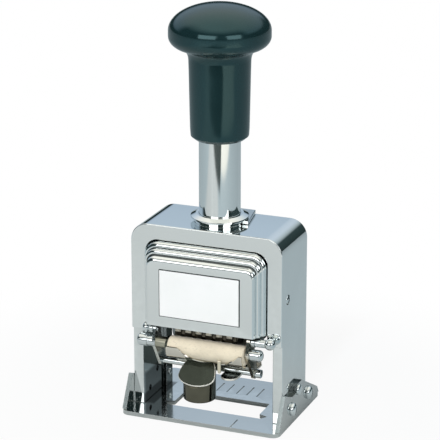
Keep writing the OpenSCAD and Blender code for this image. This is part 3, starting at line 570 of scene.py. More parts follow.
def plastic(name, tint, low, high, bump=0.04, lift=1.5, **plain):
    """Moulded plastic, enamel or rubber with a faint skin texture."""
    f = Finish(name, **plain)
    spots = f.effect("Grain and clouding", Fine_scale=1500.0, Cloud_scale=80.0)
    tone = f.clouded(spots["Clouds"], tint, shade(tint, 1.15))
    worn = f.effect("Edge wear", Threshold=0.55)["Mask"]
    f.into("Base Color", mixed(f.tree, worn, tone, shade(tint, lift)))
    f.into("Roughness", f.spread(spots["Clouds"], low, high))
    f.bump(spots["Grain"], bump)
    return f.material


def felt_finish(name, tint):
    """Pressed felt: short fibres, a little mottled, darker in its pits."""
    f = Finish(name, Sheen_Weight=0.3, Sheen_Roughness=0.5)
    spots = f.effect("Grain and clouding", Fine_scale=3200.0, Cloud_scale=220.0)
    strands = f.effect("Drawn lines", Along_X=900.0, Along_Y=2600.0, Along_Z=2600.0)
    tone = f.clouded(spots["Clouds"], shade(tint, 0.93), shade(tint, 1.04))
    pits = f.spread(strands["Lines"], 1.0, 0.0, 0.25, 0.42)
    f.into("Base Color", mixed(f.tree, pits, tone, shade(tint, 0.80)))
    f.into("Roughness", f.spread(spots["Grain"], 0.85, 1.0))
    f.bump(spots["Grain"], 0.45, 0.15)
    return f.material


FINISHES = {}
# Painted shade at the foot of the left leg's inner face and on the base beside it, standing in for the dark
# reflection there: centre in metres, turn, half sizes and softness
LEFT_FOOT_SHADE = ((-0.0262, 0.0, 0.005), 0, (0.003, 0.0118, 0.009), 0.12)


def make_finishes():
    c = colours()
    mirror = {"cloud": 30.0, "dark": 0.97, "bump": 0.008}
    FINISHES.update(
        chrome=metal("chrome_plate", c.chrome, 0.045, 0.075, **mirror),
        # The arch and the base carry painted shade at the foot of the left leg
        arch=metal("arch_chrome", c.chrome, 0.045, 0.075, painted_shade=LEFT_FOOT_SHADE, **mirror),
        cover=metal("cover_chrome", shade(c.chrome, 1.04), 0.06, 0.09, **mirror),
        # Painted shade: a dark finish in the cover's grooves stands in for the dark reflections there
        groove=metal("groove_painted_shade", shade(c.cut, 0.42), 0.3, 0.45, fine=2500.0, cloud=200.0, dark=0.7,
                     bump=0.1),
        # Painted shade on the ears' narrow edges
        cut=metal("ear_edge_painted_shade", c.cut, 0.2, 0.4, fine=2500.0, cloud=400.0, dark=0.5, bump=0.2),
        # Painted shade: the base plate is a darker copy of the chrome, standing in for the dimmer light on the
        # base
        plate=metal("base_chrome", shade(c.chrome, 0.80), 0.07, 0.12, cloud=16.0, dark=0.82, bump=0.015,
                    painted_shade=LEFT_FOOT_SHADE),
        tube=metal("drawn_tube", c.chrome, 0.05, 0.08, lines=(1500.0, 1500.0, 20.0), dark=0.98, bump=0.02),
        steel=metal("bright_steel", c.steel, 0.10, 0.18, lines=(40.0, 900.0, 900.0), bump=0.03),
        screw=metal("screw_steel", shade(c.steel, 1.15), 0.08, 0.16, fine=2500.0, bump=0.03),
        plain=metal("plain_steel", shade(c.steel, 0.62), 0.25, 0.38, lines=(60.0, 700.0, 60.0), bump=0.06),
        # Painted shade: the rails are a darker copy of the bright steel, standing in for the shade and dark
        # reflections inside the arch
        rail=metal("rail_shaded_steel", shade(c.steel, 0.4), 0.10, 0.22, lines=(40.0, 900.0, 40.0)),
        wheel=metal("wheel_steel", c.inked, 0.32, 0.55, fine=3000.0, cloud=300.0, dark=0.5, bump=0.15),
        # Painted reflection: pale cream numerals
        digit=metal("digit_painted_reflection", c.digit, 0.2, 0.35, fine=3000.0, cloud=300.0, dark=0.8, bump=0.1,
                    metallic=0.1),
        knob=plastic("knob_moulding", c.knob, 0.10, 0.16, bump=0.008, lift=1.3, IOR=1.6,
                     Specular_Tint=(0.55, 0.95, 1.0, 1.0)),
        tab=metal("dark_tab", c.tab, 0.16, 0.3, cloud=200.0, dark=0.7, bump=0.04),
        pull=metal("dark_knob", c.pull, 0.08, 0.14, cloud=120.0, lines=(350.0, 350.0, 8.0), dark=0.7,
                   bump=0.25),
        # Warm tint partly a painted reflection of the felt
        tray=metal("tray_plate", c.tray, 0.08, 0.14, cloud=60.0, dark=0.92, bump=0.02),
        # Worn edge and painted highlight on the rims
        rim=metal("worn_rim_and_highlight", c.rim, 0.15, 0.3, cloud=200.0, bump=0.03, metallic=0.6),
        felt=felt_finish("ink_felt", c.felt),
        label=plastic("label_enamel", c.label, 0.35, 0.5, bump=0.02, lift=1.0),
        outline=plastic("label_outline", c.outline, 0.4, 0.5, lift=1.2),
        sleeve=metal("dull_sleeve", c.sleeve, 0.26, 0.4, lines=(900.0, 60.0, 60.0), bump=0.08),
        brass=metal("clip_brass", c.brass, 0.15, 0.28, bump=0.04),
        rubber=plastic("bump_rubber", c.rubber, 0.6, 0.8, bump=0.2),
    )


def way(turn, height):
    """Direction so many degrees to the right of the front, and so many up."""
    turn, height = radians(turn), radians(height)
    return Vector((sin(turn) * cos(height), -cos(turn) * cos(height), sin(height)))


class MACHINE_OT_stage(bpy.types.Operator):
    """Floor, lamps, world and the camera at the photograph's angle"""

    bl_idname = "machine.stage"
    bl_label = "Stage"

    CAMERA_TURN, CAMERA_HEIGHT, CAMERA_AWAY = 21.97, 18.0, 0.81689
    SENSOR, LENS_SHARE = 36.0, 2130.22 / 440
    TARGET_HEIGHT, TARGET_RIGHT = 0.0768219, 0.0000581
    # Name, turn, height, distance in metres, sizes and power
    LAMPS = (
        ("key", -7, 20, 0.9, (0.62, 0.40), 2.0),
        ("side", 54, 20, 0.9, (0.50, 0.40), 1.5),
        ("top", -20, 66, 1.0, (0.60, 0.50), 3.0),
    )
    # Floor tints seen only in metal: the bluish sides, painted dark and painted light
    SIDES, DARK, BRIGHT = (0.45, 0.53, 0.555), (0.03, 0.045, 0.042), (1.0, 0.98, 0.88)
    # Patches painted on the floor for metal to reflect: front, a painted bright streak, a painted dark wedge
    # and a painted shadow behind the machine
    FRONT = ((-0.09, -0.30, 0), 0, (0.15, 0.33, 1), 0.2)
    STREAK = ((0.335, -0.335, 0), 42, (0.22, 0.145, 1), 0.12)
    WEDGE = ((0.102, -0.446, 0), -5, (0.27, 0.17, 1), 0.10, True)
    BEHIND = ((0.0, 0.062, 0), 0, (0.024, 0.055, 1), 0.25)
    # The sine of the height above the horizon, and the colour that metal sees there
    SKY_FRONT = (
        (-0.04, (0.45, 0.52, 0.55)),
        (-0.02, (0.02, 0.035, 0.034)),
        (0.60, (0.02, 0.036, 0.036)),
        (0.74, (0.50, 0.52, 0.50)),
        (0.90, (1.15, 1.12, 1.02)),
    )
    SKY_RIGHT = (
        (-0.04, (0.40, 0.48, 0.50)),
        (-0.02, (0.02, 0.035, 0.035)),
        (0.34, (0.035, 0.058, 0.06)),
        (0.41, (0.42, 0.50, 0.53)),
        (0.50, (0.62, 0.72, 0.78)),
        (0.90, (1.15, 1.12, 1.02)),
    )
    SKY_BACK = (
        (-0.04, (0.45, 0.52, 0.55)),
        (-0.02, (0.02, 0.035, 0.034)),
        (0.17, (0.012, 0.024, 0.024)),
        (0.235, (0.34, 0.43, 0.53)),
        (0.32, (0.50, 0.61, 0.72)),
        (0.50, (0.66, 0.75, 0.84)),
        (0.72, (0.98, 0.97, 0.93)),
        (0.90, (1.15, 1.12, 1.02)),
    )

    def execute(self, context):
        scene = context.scene
        scene.view_settings.view_transform = "Standard"
        self.camera(scene)
        floor = held("floor", made(bmesh.ops.create_grid, x_segments=1, y_segments=1, size=3.0))
        floor.location.z = -0.00005
        floor.data.materials.append(self.floor_material())
        for name, turn, height, away, span, power in self.LAMPS:
            light = bpy.data.lights.new(name, "AREA")
            light.shape = "RECTANGLE"
            light.size, light.size_y = span
            light.energy = power
            lamp = bpy.data.objects.new(name, light)
            lamp.location = Vector((0, 0, 0.08)) + way(turn, height) * away
            lamp.rotation_euler = (-way(turn, height)).to_track_quat("-Z", "Y").to_euler()
            lamp.visible_glossy = name != "top"
            scene.collection.objects.link(lamp)
        self.world(scene)
        make_finishes()
        return {"FINISHED"}

    def camera(self, scene):
        """The photograph's camera, fitted to the edges of the machine."""
        forward = -way(self.CAMERA_TURN, self.CAMERA_HEIGHT)
        turn = radians(self.CAMERA_TURN)
        right = Vector((cos(turn), sin(turn), 0))
        target = Vector((0, 0, self.TARGET_HEIGHT)) + right * self.TARGET_RIGHT
        data = bpy.data.cameras.new("camera")
        data.sensor_width, data.lens = self.SENSOR, self.LENS_SHARE * self.SENSOR
        data.clip_start, data.clip_end = 0.05, 20
        camera = bpy.data.objects.new("camera", data)
        scene.collection.objects.link(camera)
        camera.location = target - forward * self.CAMERA_AWAY
        camera.rotation_euler = forward.to_track_quat("-Z", "Y").to_euler()
        scene.camera = camera

    def floor_material(self):
        """Grey paper, bluer to the back, with patches of painted light and shade that only metal shows: a
        bright streak, a dark wedge and a shadow behind the machine.
        """
        material = bpy.data.materials.new("studio_floor")
        material.use_nodes = True
        tree = material.node_tree
        shader = tree.nodes["Principled BSDF"]
        shader.inputs["Roughness"].default_value = 0.9
        place = add(tree, "TexCoord").outputs["Object"]
        tint = self.SIDES
        # Painted light and shade laid on the floor for the metal to reflect
        for value, spot in ((colours().floor, self.FRONT), (self.BRIGHT, self.STREAK),
                            (self.DARK, self.WEDGE), (self.DARK, self.BEHIND)):
            tint = mixed(tree, patch(tree, place, *spot), tint, value)
        tree.links.new(tint, shader.inputs["Base Color"])
        reach = add(tree, "VectorMath", {0: place}, operation="LENGTH").outputs["Value"]
        share = mapped(tree, reach, 0.07, 0.16, 0.93, 1.0, smooth=True)
        path = add(tree, "LightPath").outputs
        seen = add(tree, "Math", {0: path["Is Camera Ray"], 1: share}, operation="MULTIPLY")
        glow = add(tree, "Emission", {"Color": (1, 1, 1, 1)})
        mix = add(tree, "MixShader", {0: seen.outputs[0], 1: shader.outputs[0], 2: glow.outputs[0]})
        tree.links.new(mix.outputs[0], tree.nodes["Material Output"].inputs["Surface"])
        return material

    def world(self, scene):
        """Plain light, white to the camera, and a studio sky with a dark horizon for metal to show."""
        world = bpy.data.worlds.new("studio")
        scene.world = world
        world.use_nodes = True
        tree = world.node_tree
        plain = tree.nodes["Background"]
        plain.inputs["Color"].default_value = (0.97, 0.98, 1.0, 1)
        plain.inputs["Strength"].default_value = 0.62
        white = add(tree, "Background", {"Color": (1, 1, 1, 1), "Strength": 1.0})
        split = add(tree, "SeparateXYZ", {0: add(tree, "TexCoord").outputs["Generated"]}).outputs
        height = mapped(tree, split["Z"], -1.0, 1.0)
        back, side, front = [ramp(tree, height, s) for s in (self.SKY_BACK, self.SKY_RIGHT, self.SKY_FRONT)]
        shown = mixed(tree, mapped(tree, split["X"], -0.05, 0.2, smooth=True), back, side)
        shown = mixed(tree, mapped(tree, split["Y"], 0.15, -0.25, smooth=True), shown, front)
        seen = add(tree, "Background", {"Color": shown, "Strength": 1.0})
        path = add(tree, "LightPath").outputs
        first = add(tree, "MixShader", {0: path["Is Glossy Ray"], 1: plain.outputs[0], 2: seen.outputs[0]})
        second = add(tree, "MixShader", {0: path["Is Camera Ray"], 1: first.outputs[0], 2: white.outputs[0]})
        tree.links.new(second.outputs[0], tree.nodes["World Output"].inputs["Surface"])


def screw_part(head_r, head_t, shank_r, length, slot_turn=None, slot_w=0.6, slot_d=0.5):
    """Domed head and shank along X; a slot is cut when its turn is given."""
    shank = [(0, -length), (shank_r, -length), (shank_r, 0), (head_r - 0.1, 0), (head_r, 0.1)]
    dome = dome_path(head_r, head_t * 0.3, head_t * 0.7, range(0, 90, 15))
    bm = made(turned, shank + dome + [(0, head_t)], axis="x", parts=32)
    if slot_turn is None:
        return bm
    tool = made(block, (head_t - slot_d, -head_r - 1, -slot_w / 2), (head_t + 1, head_r + 1, slot_w / 2))
    turn = Matrix.Rotation(radians(slot_turn), 3, "X")
    bmesh.ops.rotate(tool, verts=tool.verts, cent=(0, 0, 0), matrix=turn)
    return carved(bm, tool)


WAYS = {
    "right": Matrix.Identity(4),
    "left": Matrix.Scale(-1, 4, (1, 0, 0)),
    "back": Matrix.Rotation(pi / 2, 4, "Z"),
}


def place_copy(bm, mesh, matrix):
    """Adds a moved copy of a mesh."""
    copy = mesh.copy()
    copy.transform(matrix)
    bm.from_mesh(copy)
    bpy.data.meshes.remove(copy)


def fastener_set(node, part, places):
    """Copies of one fastener at each place, its head pointing the given way."""
    pattern = bpy.data.meshes.new("fastener")
    part.to_mesh(pattern)
    part.free()
    bm = bmesh.new()
    for place, way_out in places:
        place_copy(bm, pattern, Matrix.Translation(Vector(place) * MM) @ WAYS[way_out])
    bpy.data.meshes.remove(pattern)
    bmesh.ops.recalc_face_normals(bm, faces=bm.faces)
    stand_in(node, bm, "screw")


def pairs(x, spots, outward=True):
    """The same places on both sides; heads point outward or inward."""
    ways = ("right", "left") if outward else ("left", "right")
    return [((x, y, z), ways[0]) for y, z in spots] + [((-x, y, z), ways[1]) for y, z in spots]


class MACHINE_OT_frame(bpy.types.Operator):
    """Arch, base plate, rails and the fixed pieces inside the arch"""

    bl_idname = "machine.arch"
    bl_label = "Arch and base"

    EAR_SCREWS = ((-6.7, 6.1), (11.6, 6.1))
    EAR_RIVET = (0.4, 11.6)
    COVER_SCREW = (-7.8, 51.1)
    BRIDGE_SCREW_X, BRIDGE_SCREW_Z = 15.0, 54.5
    RAIL_SCREW_INSET = 5.2
    SPRING_R, WIRE_R, SPRING_TURNS = 5.2, 0.6, 11
    COIL_PARTS, WIRE_PARTS = 28, 10

    def execute(self, context):
        s = sizes()
        softened("frame", "arch", s.edge, 3)
        softened("base_plate", "plate", s.fine_edge * 2, cut="cut")
        # The rails take the darker steel, painted shade
        for node, finish in (("left_rail", "rail"), ("right_rail", "rail"), ("stop_latch", "plate"),
                             ("spring_bridge", "plain")):
            softened(node, finish, s.fine_edge)
        softened("back_cover", "cover", s.edge * 1.6, 3)
        self.fasteners()
        low, high = extent("bump_ring")
        lathe("bump_ring", "rubber", tube_path(TUBE_R + 0.3, high[0], low[2], high[2], 0.4))
        self.spring()
        return {"FINISHED"}

    def fasteners(self):
        fastener_set("cover_screws", screw_part(1.7, 1.5, SCREW_R, 6, 75, 0.8, 0.8),
                     pairs(LEG_X - 1, [self.COVER_SCREW]))
        fastener_set("ear_screws", screw_part(2.6, 1.9, SCREW_R, 4.7, 70), pairs(EAR_X, self.EAR_SCREWS))
        fastener_set("ear_rivets", screw_part(2.2, 1.3, SCREW_R, 4.7), pairs(EAR_X, [self.EAR_RIVET]))
        back = extent("back_cover")[1][1]
        fastener_set("bridge_screws", screw_part(2.0, 1.2, SCREW_R, 5.4, 25), [
            ((x, back, self.BRIDGE_SCREW_Z), "back") for x in (-self.BRIDGE_SCREW_X, self.BRIDGE_SCREW_X)])
        y = middle_of("right_rail")[1]
        low, high = span("right_rail")
        spots = [(y, low + self.RAIL_SCREW_INSET), (y, high - self.RAIL_SCREW_INSET)]
        fastener_set("rail_screws", screw_part(1.3, 0.7, 0.8, 1.2, 40),
                     pairs(extent("right_rail")[0][0], spots, outward=False))

    def spring(self):
        """Coil of round wire along the return spring's height."""
        low, high = span("return_spring")
        height = high - low
        rise = (height - 2 * self.WIRE_R) / self.SPRING_TURNS
        up = Vector((0, 0, 1))
        rows = []
        for i in range(self.COIL_PARTS * self.SPRING_TURNS + 1):
            a = 2 * pi * i / self.COIL_PARTS
            out = Vector((cos(a), sin(a), 0))
            middle = out * self.SPRING_R + Vector((0, 0, low + self.WIRE_R + rise * i / self.COIL_PARTS))
            rows.append([middle + self.WIRE_R * (out * cos(b) + up * sin(b))
                         for b in (2 * pi * k / self.WIRE_PARTS for k in range(self.WIRE_PARTS))])
        piece = stand_in("return_spring", made(lofted, rows), "screw")
        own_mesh(piece)


class MACHINE_OT_cover(bpy.types.Operator):
    """Stepped front cover and its blank label"""

    bl_idname = "machine.cover"
    bl_label = "Front cover"

    STEPS, LAST_STEP, SIDE_SHARE, WALL, CORNER = (0, 2.15, 4.35), 3.2, 0.57, 0.9, 5.6
    ROUNDS, GROOVES = (1.6, 1.2, 1.9), (0.32, 0.62, 0.1)
    BUMP_ROOM_R = 12.9
    LABEL_EDGE, LABEL_LINE = 0.1, 0.3

    def path(self, d):
        """Arch outline at an inset, from the left foot to the right one."""
        half, top = COVER_HIGH[0] - d * self.SIDE_SHARE, COVER_HIGH[2] - d
        r = max(0.6, self.CORNER - d / 2)
        foot = COVER_LOW[2]
        left = [Vector((-half, foot)), Vector((-half, foot + 2))] + arc(-half + r, top - r, r, 180, 90, 10)
        right = arc(half - r, top - r, r, 90, 0, 10) + [Vector((half, foot + 2)), Vector((half, foot))]
        return left + [Vector((0, top))] + right

    def profile(self, shrink, convex):
        """Inset against depth, from the flange to the face."""
        front = -extent("frame")[0][1]
        rise = (-COVER_LOW[1] - front) / 3
        points, radii = [(shrink, COVER_HIGH[1])], [0]
        for i, (d, after) in enumerate(zip(self.STEPS, self.STEPS[1:] + (self.STEPS[-1] + self.LAST_STEP,))):
            y = -(front + (i + 1) * rise) + shrink
            points += [(d + shrink, y), (after + shrink, y)]
            radii += [self.ROUNDS[i] * convex, self.GROOVES[i]]
        return rounded(points, radii, sizes().arc_parts, closed=False)

    @staticmethod
    def dull_rows():
        """Rows of the profile that lie in a groove, which take painted shade; a rounded corner gives one row
        more than its facets.
        """
        parts = sizes().arc_parts
        return [k for start in (parts + 2, 3 * parts + 4) for k in range(start, start + parts)]

    def execute(self, context):
        bm = bmesh.new()
        skins = []
        # Rows that take the painted shade finish
        dull = self.dull_rows()
        for shrink, convex in ((0, sizes().cover_edge), (self.WALL, 0.2)):
            rows = [[bm.verts.new((p.x * MM, y * MM, p.y * MM)) for p in self.path(d)]
                    for d, y in self.profile(shrink, convex)]
            for k, (a, b) in enumerate(zip(rows, rows[1:])):
                for i in range(len(a) - 1):
                    face = bm.faces.new((a[i], a[i + 1], b[i + 1], b[i]))
                    # Faces in the groove rows, away from the ends, take the painted shade finish
                    face.material_index = int(shrink == 0 and k in dull and 2 < i < len(a) - 5)
            bm.faces.new(rows[-1])
            skins.append(rows)
        outer, inner = skins
        for i in range(len(outer[0]) - 1):
            bm.faces.new((outer[0][i], outer[0][i + 1], inner[0][i + 1], inner[0][i]))
        rim = [bm.edges.get((inner[0][k], outer[0][k])) for k in (0, -1)]
        for rows in skins:
            for k in (0, -1):
                rim += [bm.edges.get((a[k], b[k])) for a, b in zip(rows, rows[1:])]
            rim.append(bm.edges.get((rows[-1][0], rows[-1][-1])))
        bmesh.ops.triangle_fill(bm, use_beauty=True, use_dissolve=False, edges=rim)
        bmesh.ops.recalc_face_normals(bm, faces=bm.faces)
        room = made(round_bar, self.BUMP_ROOM_R, 60, FRAME_TOP, (0, 0, 0), "z", 64)
        stand_in("front_cover", carved(bm, room), "cover groove", smooth=28)
        self.label()
        return {"FINISHED"}

    def label(self):
        """White plate with a thin dark outline, left blank."""
        low, high = extent("label_plate")
        bm = bmesh.new()
        for line, start, end, edge, parts in (
            (0, low[1] + 0.03, high[1], self.LABEL_EDGE, 2),
            (self.LABEL_LINE, low[1], high[1] - self.LABEL_EDGE, 0.03, 1),
        ):
            x0, x1, z0, z1 = low[0] + line, high[0] - line, low[2] + line, high[2] - line
            for face in slab(bm, [(x0, z0), (x1, z0), (x1, z1), (x0, z1)], start, end, edge, "xz", parts):
                face.material_index = int(line == 0)
        stand_in("label_plate", bm, "label outline")


class MACHINE_OT_plunger(bpy.types.Operator):
    """Knob, tube and guide bush"""

    bl_idname = "machine.plunger"
    bl_label = "Plunger"

    SOCKET, STUD_R, STUD_ROOM = 20.0, 2.5, 14.0
    HEAD_R, WAIST_R, UNDER_H, DOME_H, RIM_DEPTH = 19.4, 12.6, 5.0, 10.2, 12.3
    WALL, SLOT_HALF, SLOT_TOP = 1.4, 3.2, 79.4
    PLUG_FLOOR = 3.0
    SPIGOT_R, BUSH_RIM, BEVEL, TONGUE_HALF = 9.6, 1.8, 1.0, 2.8

    def knob_profile(self):
        """Radius against height: socket, neck, fillet, rounded underside, rim and dome."""
        h = KNOB_TOP - KNOB_FOOT
        rim_top, rim = h - self.DOME_H, h - self.RIM_DEPTH
        under_r = self.HEAD_R - self.WAIST_R
        bore = [(0, self.SOCKET + self.STUD_ROOM), (self.STUD_R, self.SOCKET + self.STUD_ROOM),
                (self.STUD_R, self.SOCKET), (TUBE_R, self.SOCKET)]
        foot = soft_path([(TUBE_R, self.SOCKET), (TUBE_R, 0.8), (9.5, 0.8), (11.1, 2.1), (11.3, 5)], 0.5, 4)
        neck = [(11.45, 12), (11.6, 20), (11.72, 27), (11.85, 31.5)]
        start, bend = Vector((11.85, 31.5)), Vector((12.1, rim - 5.45))
        end = Vector(dome_path(under_r, rim, self.UNDER_H, [-70], self.WAIST_R)[0])
        fillet = [tuple(start * (1 - t) ** 2 + bend * 2 * t * (1 - t) + end * t ** 2)
                  for t in (k / 8 for k in range(1, 9))]
        belly = dome_path(under_r, rim, self.UNDER_H, range(-64, 1, 8), self.WAIST_R)
        dome = dome_path(self.HEAD_R, rim_top, h - rim_top, range(0, 90, 5))
        return bore + foot[1:] + neck + fillet + belly + dome + [(0, h)]

    def execute(self, context):
        lathe("knob", "knob", self.knob_profile(), (0, 0, KNOB_FOOT), parts=96)
        bore_r, stud_r = TUBE_R - self.WALL, self.STUD_R
        slot = made(block, (-self.SLOT_HALF, 0, TUBE_FOOT - 1), (self.SLOT_HALF, TUBE_R + 1, self.SLOT_TOP))
        holes = made(round_bar, SCREW_R, -LEG_X, LEG_X, (0, 0, middle_of("crosshead_screws")[2]))
        lathe("plunger_tube", "tube", tube_path(bore_r, TUBE_R, TUBE_FOOT, TUBE_HEAD, 0.25), parts=96,
              cutters=(slot, holes))
        low, high = span("tube_plug")
        floor = low + self.PLUG_FLOOR
        plug = [(0, low), (bore_r, low), (bore_r, high), (stud_r, high), (stud_r, floor), (0, floor)]
        lathe("tube_plug", "plain", soft_path(plug, 0.25))
        lathe("knob_stud", "screw", rod_path(stud_r, *span("knob_stud"), 0.5))
        self.bush()
        return {"FINISHED"}

    def bush(self):
        """Flanged collar with a bevelled rim and a way for the latch's tongue."""
        low, high = extent("guide_bush")
        rim_r, foot, top = high[0], low[2], high[2]
        bore_r, flange = TUBE_R + 0.05, top - self.BUSH_RIM
        loop = rounded([(bore_r, foot), (self.SPIGOT_R, foot), (self.SPIGOT_R, flange), (rim_r, flange),
                        (rim_r, top - self.BEVEL), (rim_r - 2 * self.BEVEL, top), (bore_r, top)],
                       [0.1, 0.1, 0.05, 0.12, 0.12, 0.12, 0.2], 3)
        profile = [tuple(p) for p in loop]
        tongue = made(block, (-self.TONGUE_HALF, 0, FRAME_TOP), (self.TONGUE_HALF, rim_r + 1, flange))
        lathe("guide_bush", "chrome", profile + [profile[0]], parts=96, smooth=24, cutters=(tongue,))


class MACHINE_OT_carriage(bpy.types.Operator):
    """Crosshead, wheel case, arms and wheels"""

    bl_idname = "machine.carriage"
    bl_label = "Carriage and wheels"

    WHEEL_W, BAND_W = 3.97, 3.97 * 0.69
    BODY_R, BLOCK_R, DIGIT_R, BLOCK_HALF = WHEEL_R - 0.8, WHEEL_R - 0.32, WHEEL_R - 0.36, 2.2
    DIGIT_RISE, DIGIT_SHARE, DIGIT_THIN = 0.18, 1.35, 0.72
    CLIP_W, CLIP_DEEP = 0.6, 0.6
    ARM_OUT = 21.8

    def execute(self, context):
        fine = sizes().fine_edge
        for node in ("crosshead", "pawl_comb", "detent_fingers", "wheel_case_left", "wheel_case_right"):
            softened(node, "plain", fine)
        for node in ("pad_arm_left", "pad_arm_right", "pawl_lever_left", "pawl_lever_right", "shaft_clips"):
            softened(node, "steel", fine)
        screw_z = middle_of("arm_screws")[2]
        fastener_set("arm_screws", screw_part(1.3, 0.7, 0.8, 1.2, 10),
                     pairs(extent("pad_arm_right")[1][0], [(-6.0, screw_z), (-3.0, screw_z)]))
        end = extent("crosshead_screws")[1][0]
        path = [(0, 6.8), (SCREW_R, 6.8), (SCREW_R, end), (0.6, end), (0.6, 11.6), (0, 11.4)]
        bm = bmesh.new()
        for flip in (True, False):
            turned(bm, soft_path(path, 0.12), (0, 0, middle_of("crosshead_screws")[2]), "x", flip, 32)
        stand_in("crosshead_screws", bm, "screw")
        for node, finish, r in (("case_spacer", "plain", 1.4), ("detent_rod", "steel", 1.1)):
            lathe(node, finish, rod_path(r, *span(node, 0), 0.2), (0, *middle_of(node)[1:]), "x", parts=40)
        self.shaft()
        self.pivot("pad_pivot_right", 4.4)
        self.pivot("pad_pivot_left", 3.2, True)
        pattern = self.wheel()
        for i in range(6):
            node = "wheel_%d" % (i + 1)
            start = Matrix.Rotation(radians(36 * (i + 1)), 4, "X")
            bm = bmesh.new()
            place = Vector((extent(node)[0][0], WHEEL_Y, WHEEL_Z)) * MM
            place_copy(bm, pattern, Matrix.Translation(place) @ start)
            stand_in(node, bm, "wheel digit")
        bpy.data.meshes.remove(pattern)
        return {"FINISHED"}

    def shaft(self):
        """Wheel shaft with a neck for each clip."""
        low, high = span("wheel_shaft", 0)
        neck, clip = SHAFT_R - self.CLIP_DEEP, self.CLIP_W
        end = [(0, 0), (SHAFT_R, 0), (SHAFT_R, clip), (neck, clip), (neck, 2 * clip), (SHAFT_R, 2 * clip)]
        points = [(r, low + x) for r, x in end] + [(r, high - x) for r, x in reversed(end)]
        lathe("wheel_shaft", "steel", soft_path(points, 0.08), (0, WHEEL_Y, WHEEL_Z), "x", parts=48)

    def pivot(self, node, head, flip=False):
        """Pin with a ball-shaped head outside the arm."""
        inner, outer = sorted(abs(x) for x in span(node, 0))
        start = outer - head
        ball = dome_path(2.2, start + head / 2, head / 2, range(-48, 90, 8))
        pin = [(0, inner), (1.1, inner), (1.2, inner + 0.15), (1.2, self.ARM_OUT), (1.6, self.ARM_OUT),
               (1.6, start + 0.2)]
        lathe(node, "screw", pin + ball + [(0, outer)], (0, PIVOT_Y, PIVOT_Z), "x", flip, parts=48)

    def wheel(self):
        """Mesh of one number wheel about its own axis, its left face at the origin."""
        bm = made(turned, tube_path(SHAFT_R + 0.05, self.BODY_R, 0, self.BAND_W, 0.12), axis="x", parts=80)
        across = (-1, -0.5, 0, 0.5, 1)
        levels = ((self.BODY_R - 0.5, 0.0), (self.BLOCK_R - 0.22, 0.0), (self.BLOCK_R - 0.06, 0.08),
                  (self.BLOCK_R, 0.24))
        for i in range(10):
            turn = Matrix.Rotation(radians(36 * i), 3, "X")
            rows = []
            for r, d in levels:
                ring = [(0.2 + d, t) for t in across] + [(self.BAND_W - 0.2 - d, -t) for t in across]
                angles = [(x, t * (self.BLOCK_HALF - d) / WHEEL_R) for x, t in ring]
                rows.append([turn @ Vector((x, r * sin(a), r * cos(a))) for x, a in angles])
            for face in lofted(bm, rows):
                face.material_index = 1
        teeth = [(r * cos(t), r * sin(t)) for i in range(10) for r, t in (
            (r, radians(36 * (i + a))) for r, a in ((8.95, 0.0), (7.85, 0.1), (8.4, 0.5)))]
        slab(bm, teeth, self.BAND_W / 2, self.WHEEL_W, 0.1, "yz", 2)
        for i in range(10):
            glyph = self.numeral(str(i))
            for v in glyph.vertices:
                u, w, h = v.co / MM
                a = radians(36 * i) + w / WHEEL_R
                r = self.DIGIT_R + h
                v.co = Vector((self.BAND_W / 2 - u, r * sin(a), r * cos(a))) * MM
            start = len(bm.faces)
            bm.from_mesh(glyph)
            bpy.data.meshes.remove(glyph)
            bm.faces.ensure_lookup_table()
            for face in bm.faces[start:]:
                face.material_index = 1
                face.normal_flip()
        pattern = bpy.data.meshes.new("wheel_pattern")
        bm.to_mesh(pattern)
        bm.free()
        return pattern

    def numeral(self, text):
        """Mesh of one raised numeral, flat and centred on the origin."""
        curve = bpy.data.curves.new("digit", "FONT")
        curve.body = text
        curve.align_x, curve.align_y = "CENTER", "CENTER"
        curve.size = sizes().digit_height * self.DIGIT_SHARE * MM
        curve.extrude = self.DIGIT_RISE * MM
        curve.resolution_u = 3
        thing = bpy.data.objects.new("digit", curve)
        bpy.context.scene.collection.objects.link(thing)
        mesh = settled(thing)
        rise = Matrix.Translation((0, 0, self.DIGIT_RISE * MM))
        mesh.transform(Matrix.Diagonal((self.DIGIT_THIN, 1, 1, 1)) @ rise)
        bpy.data.objects.remove(thing)
        bpy.data.curves.remove(curve)
        return mesh


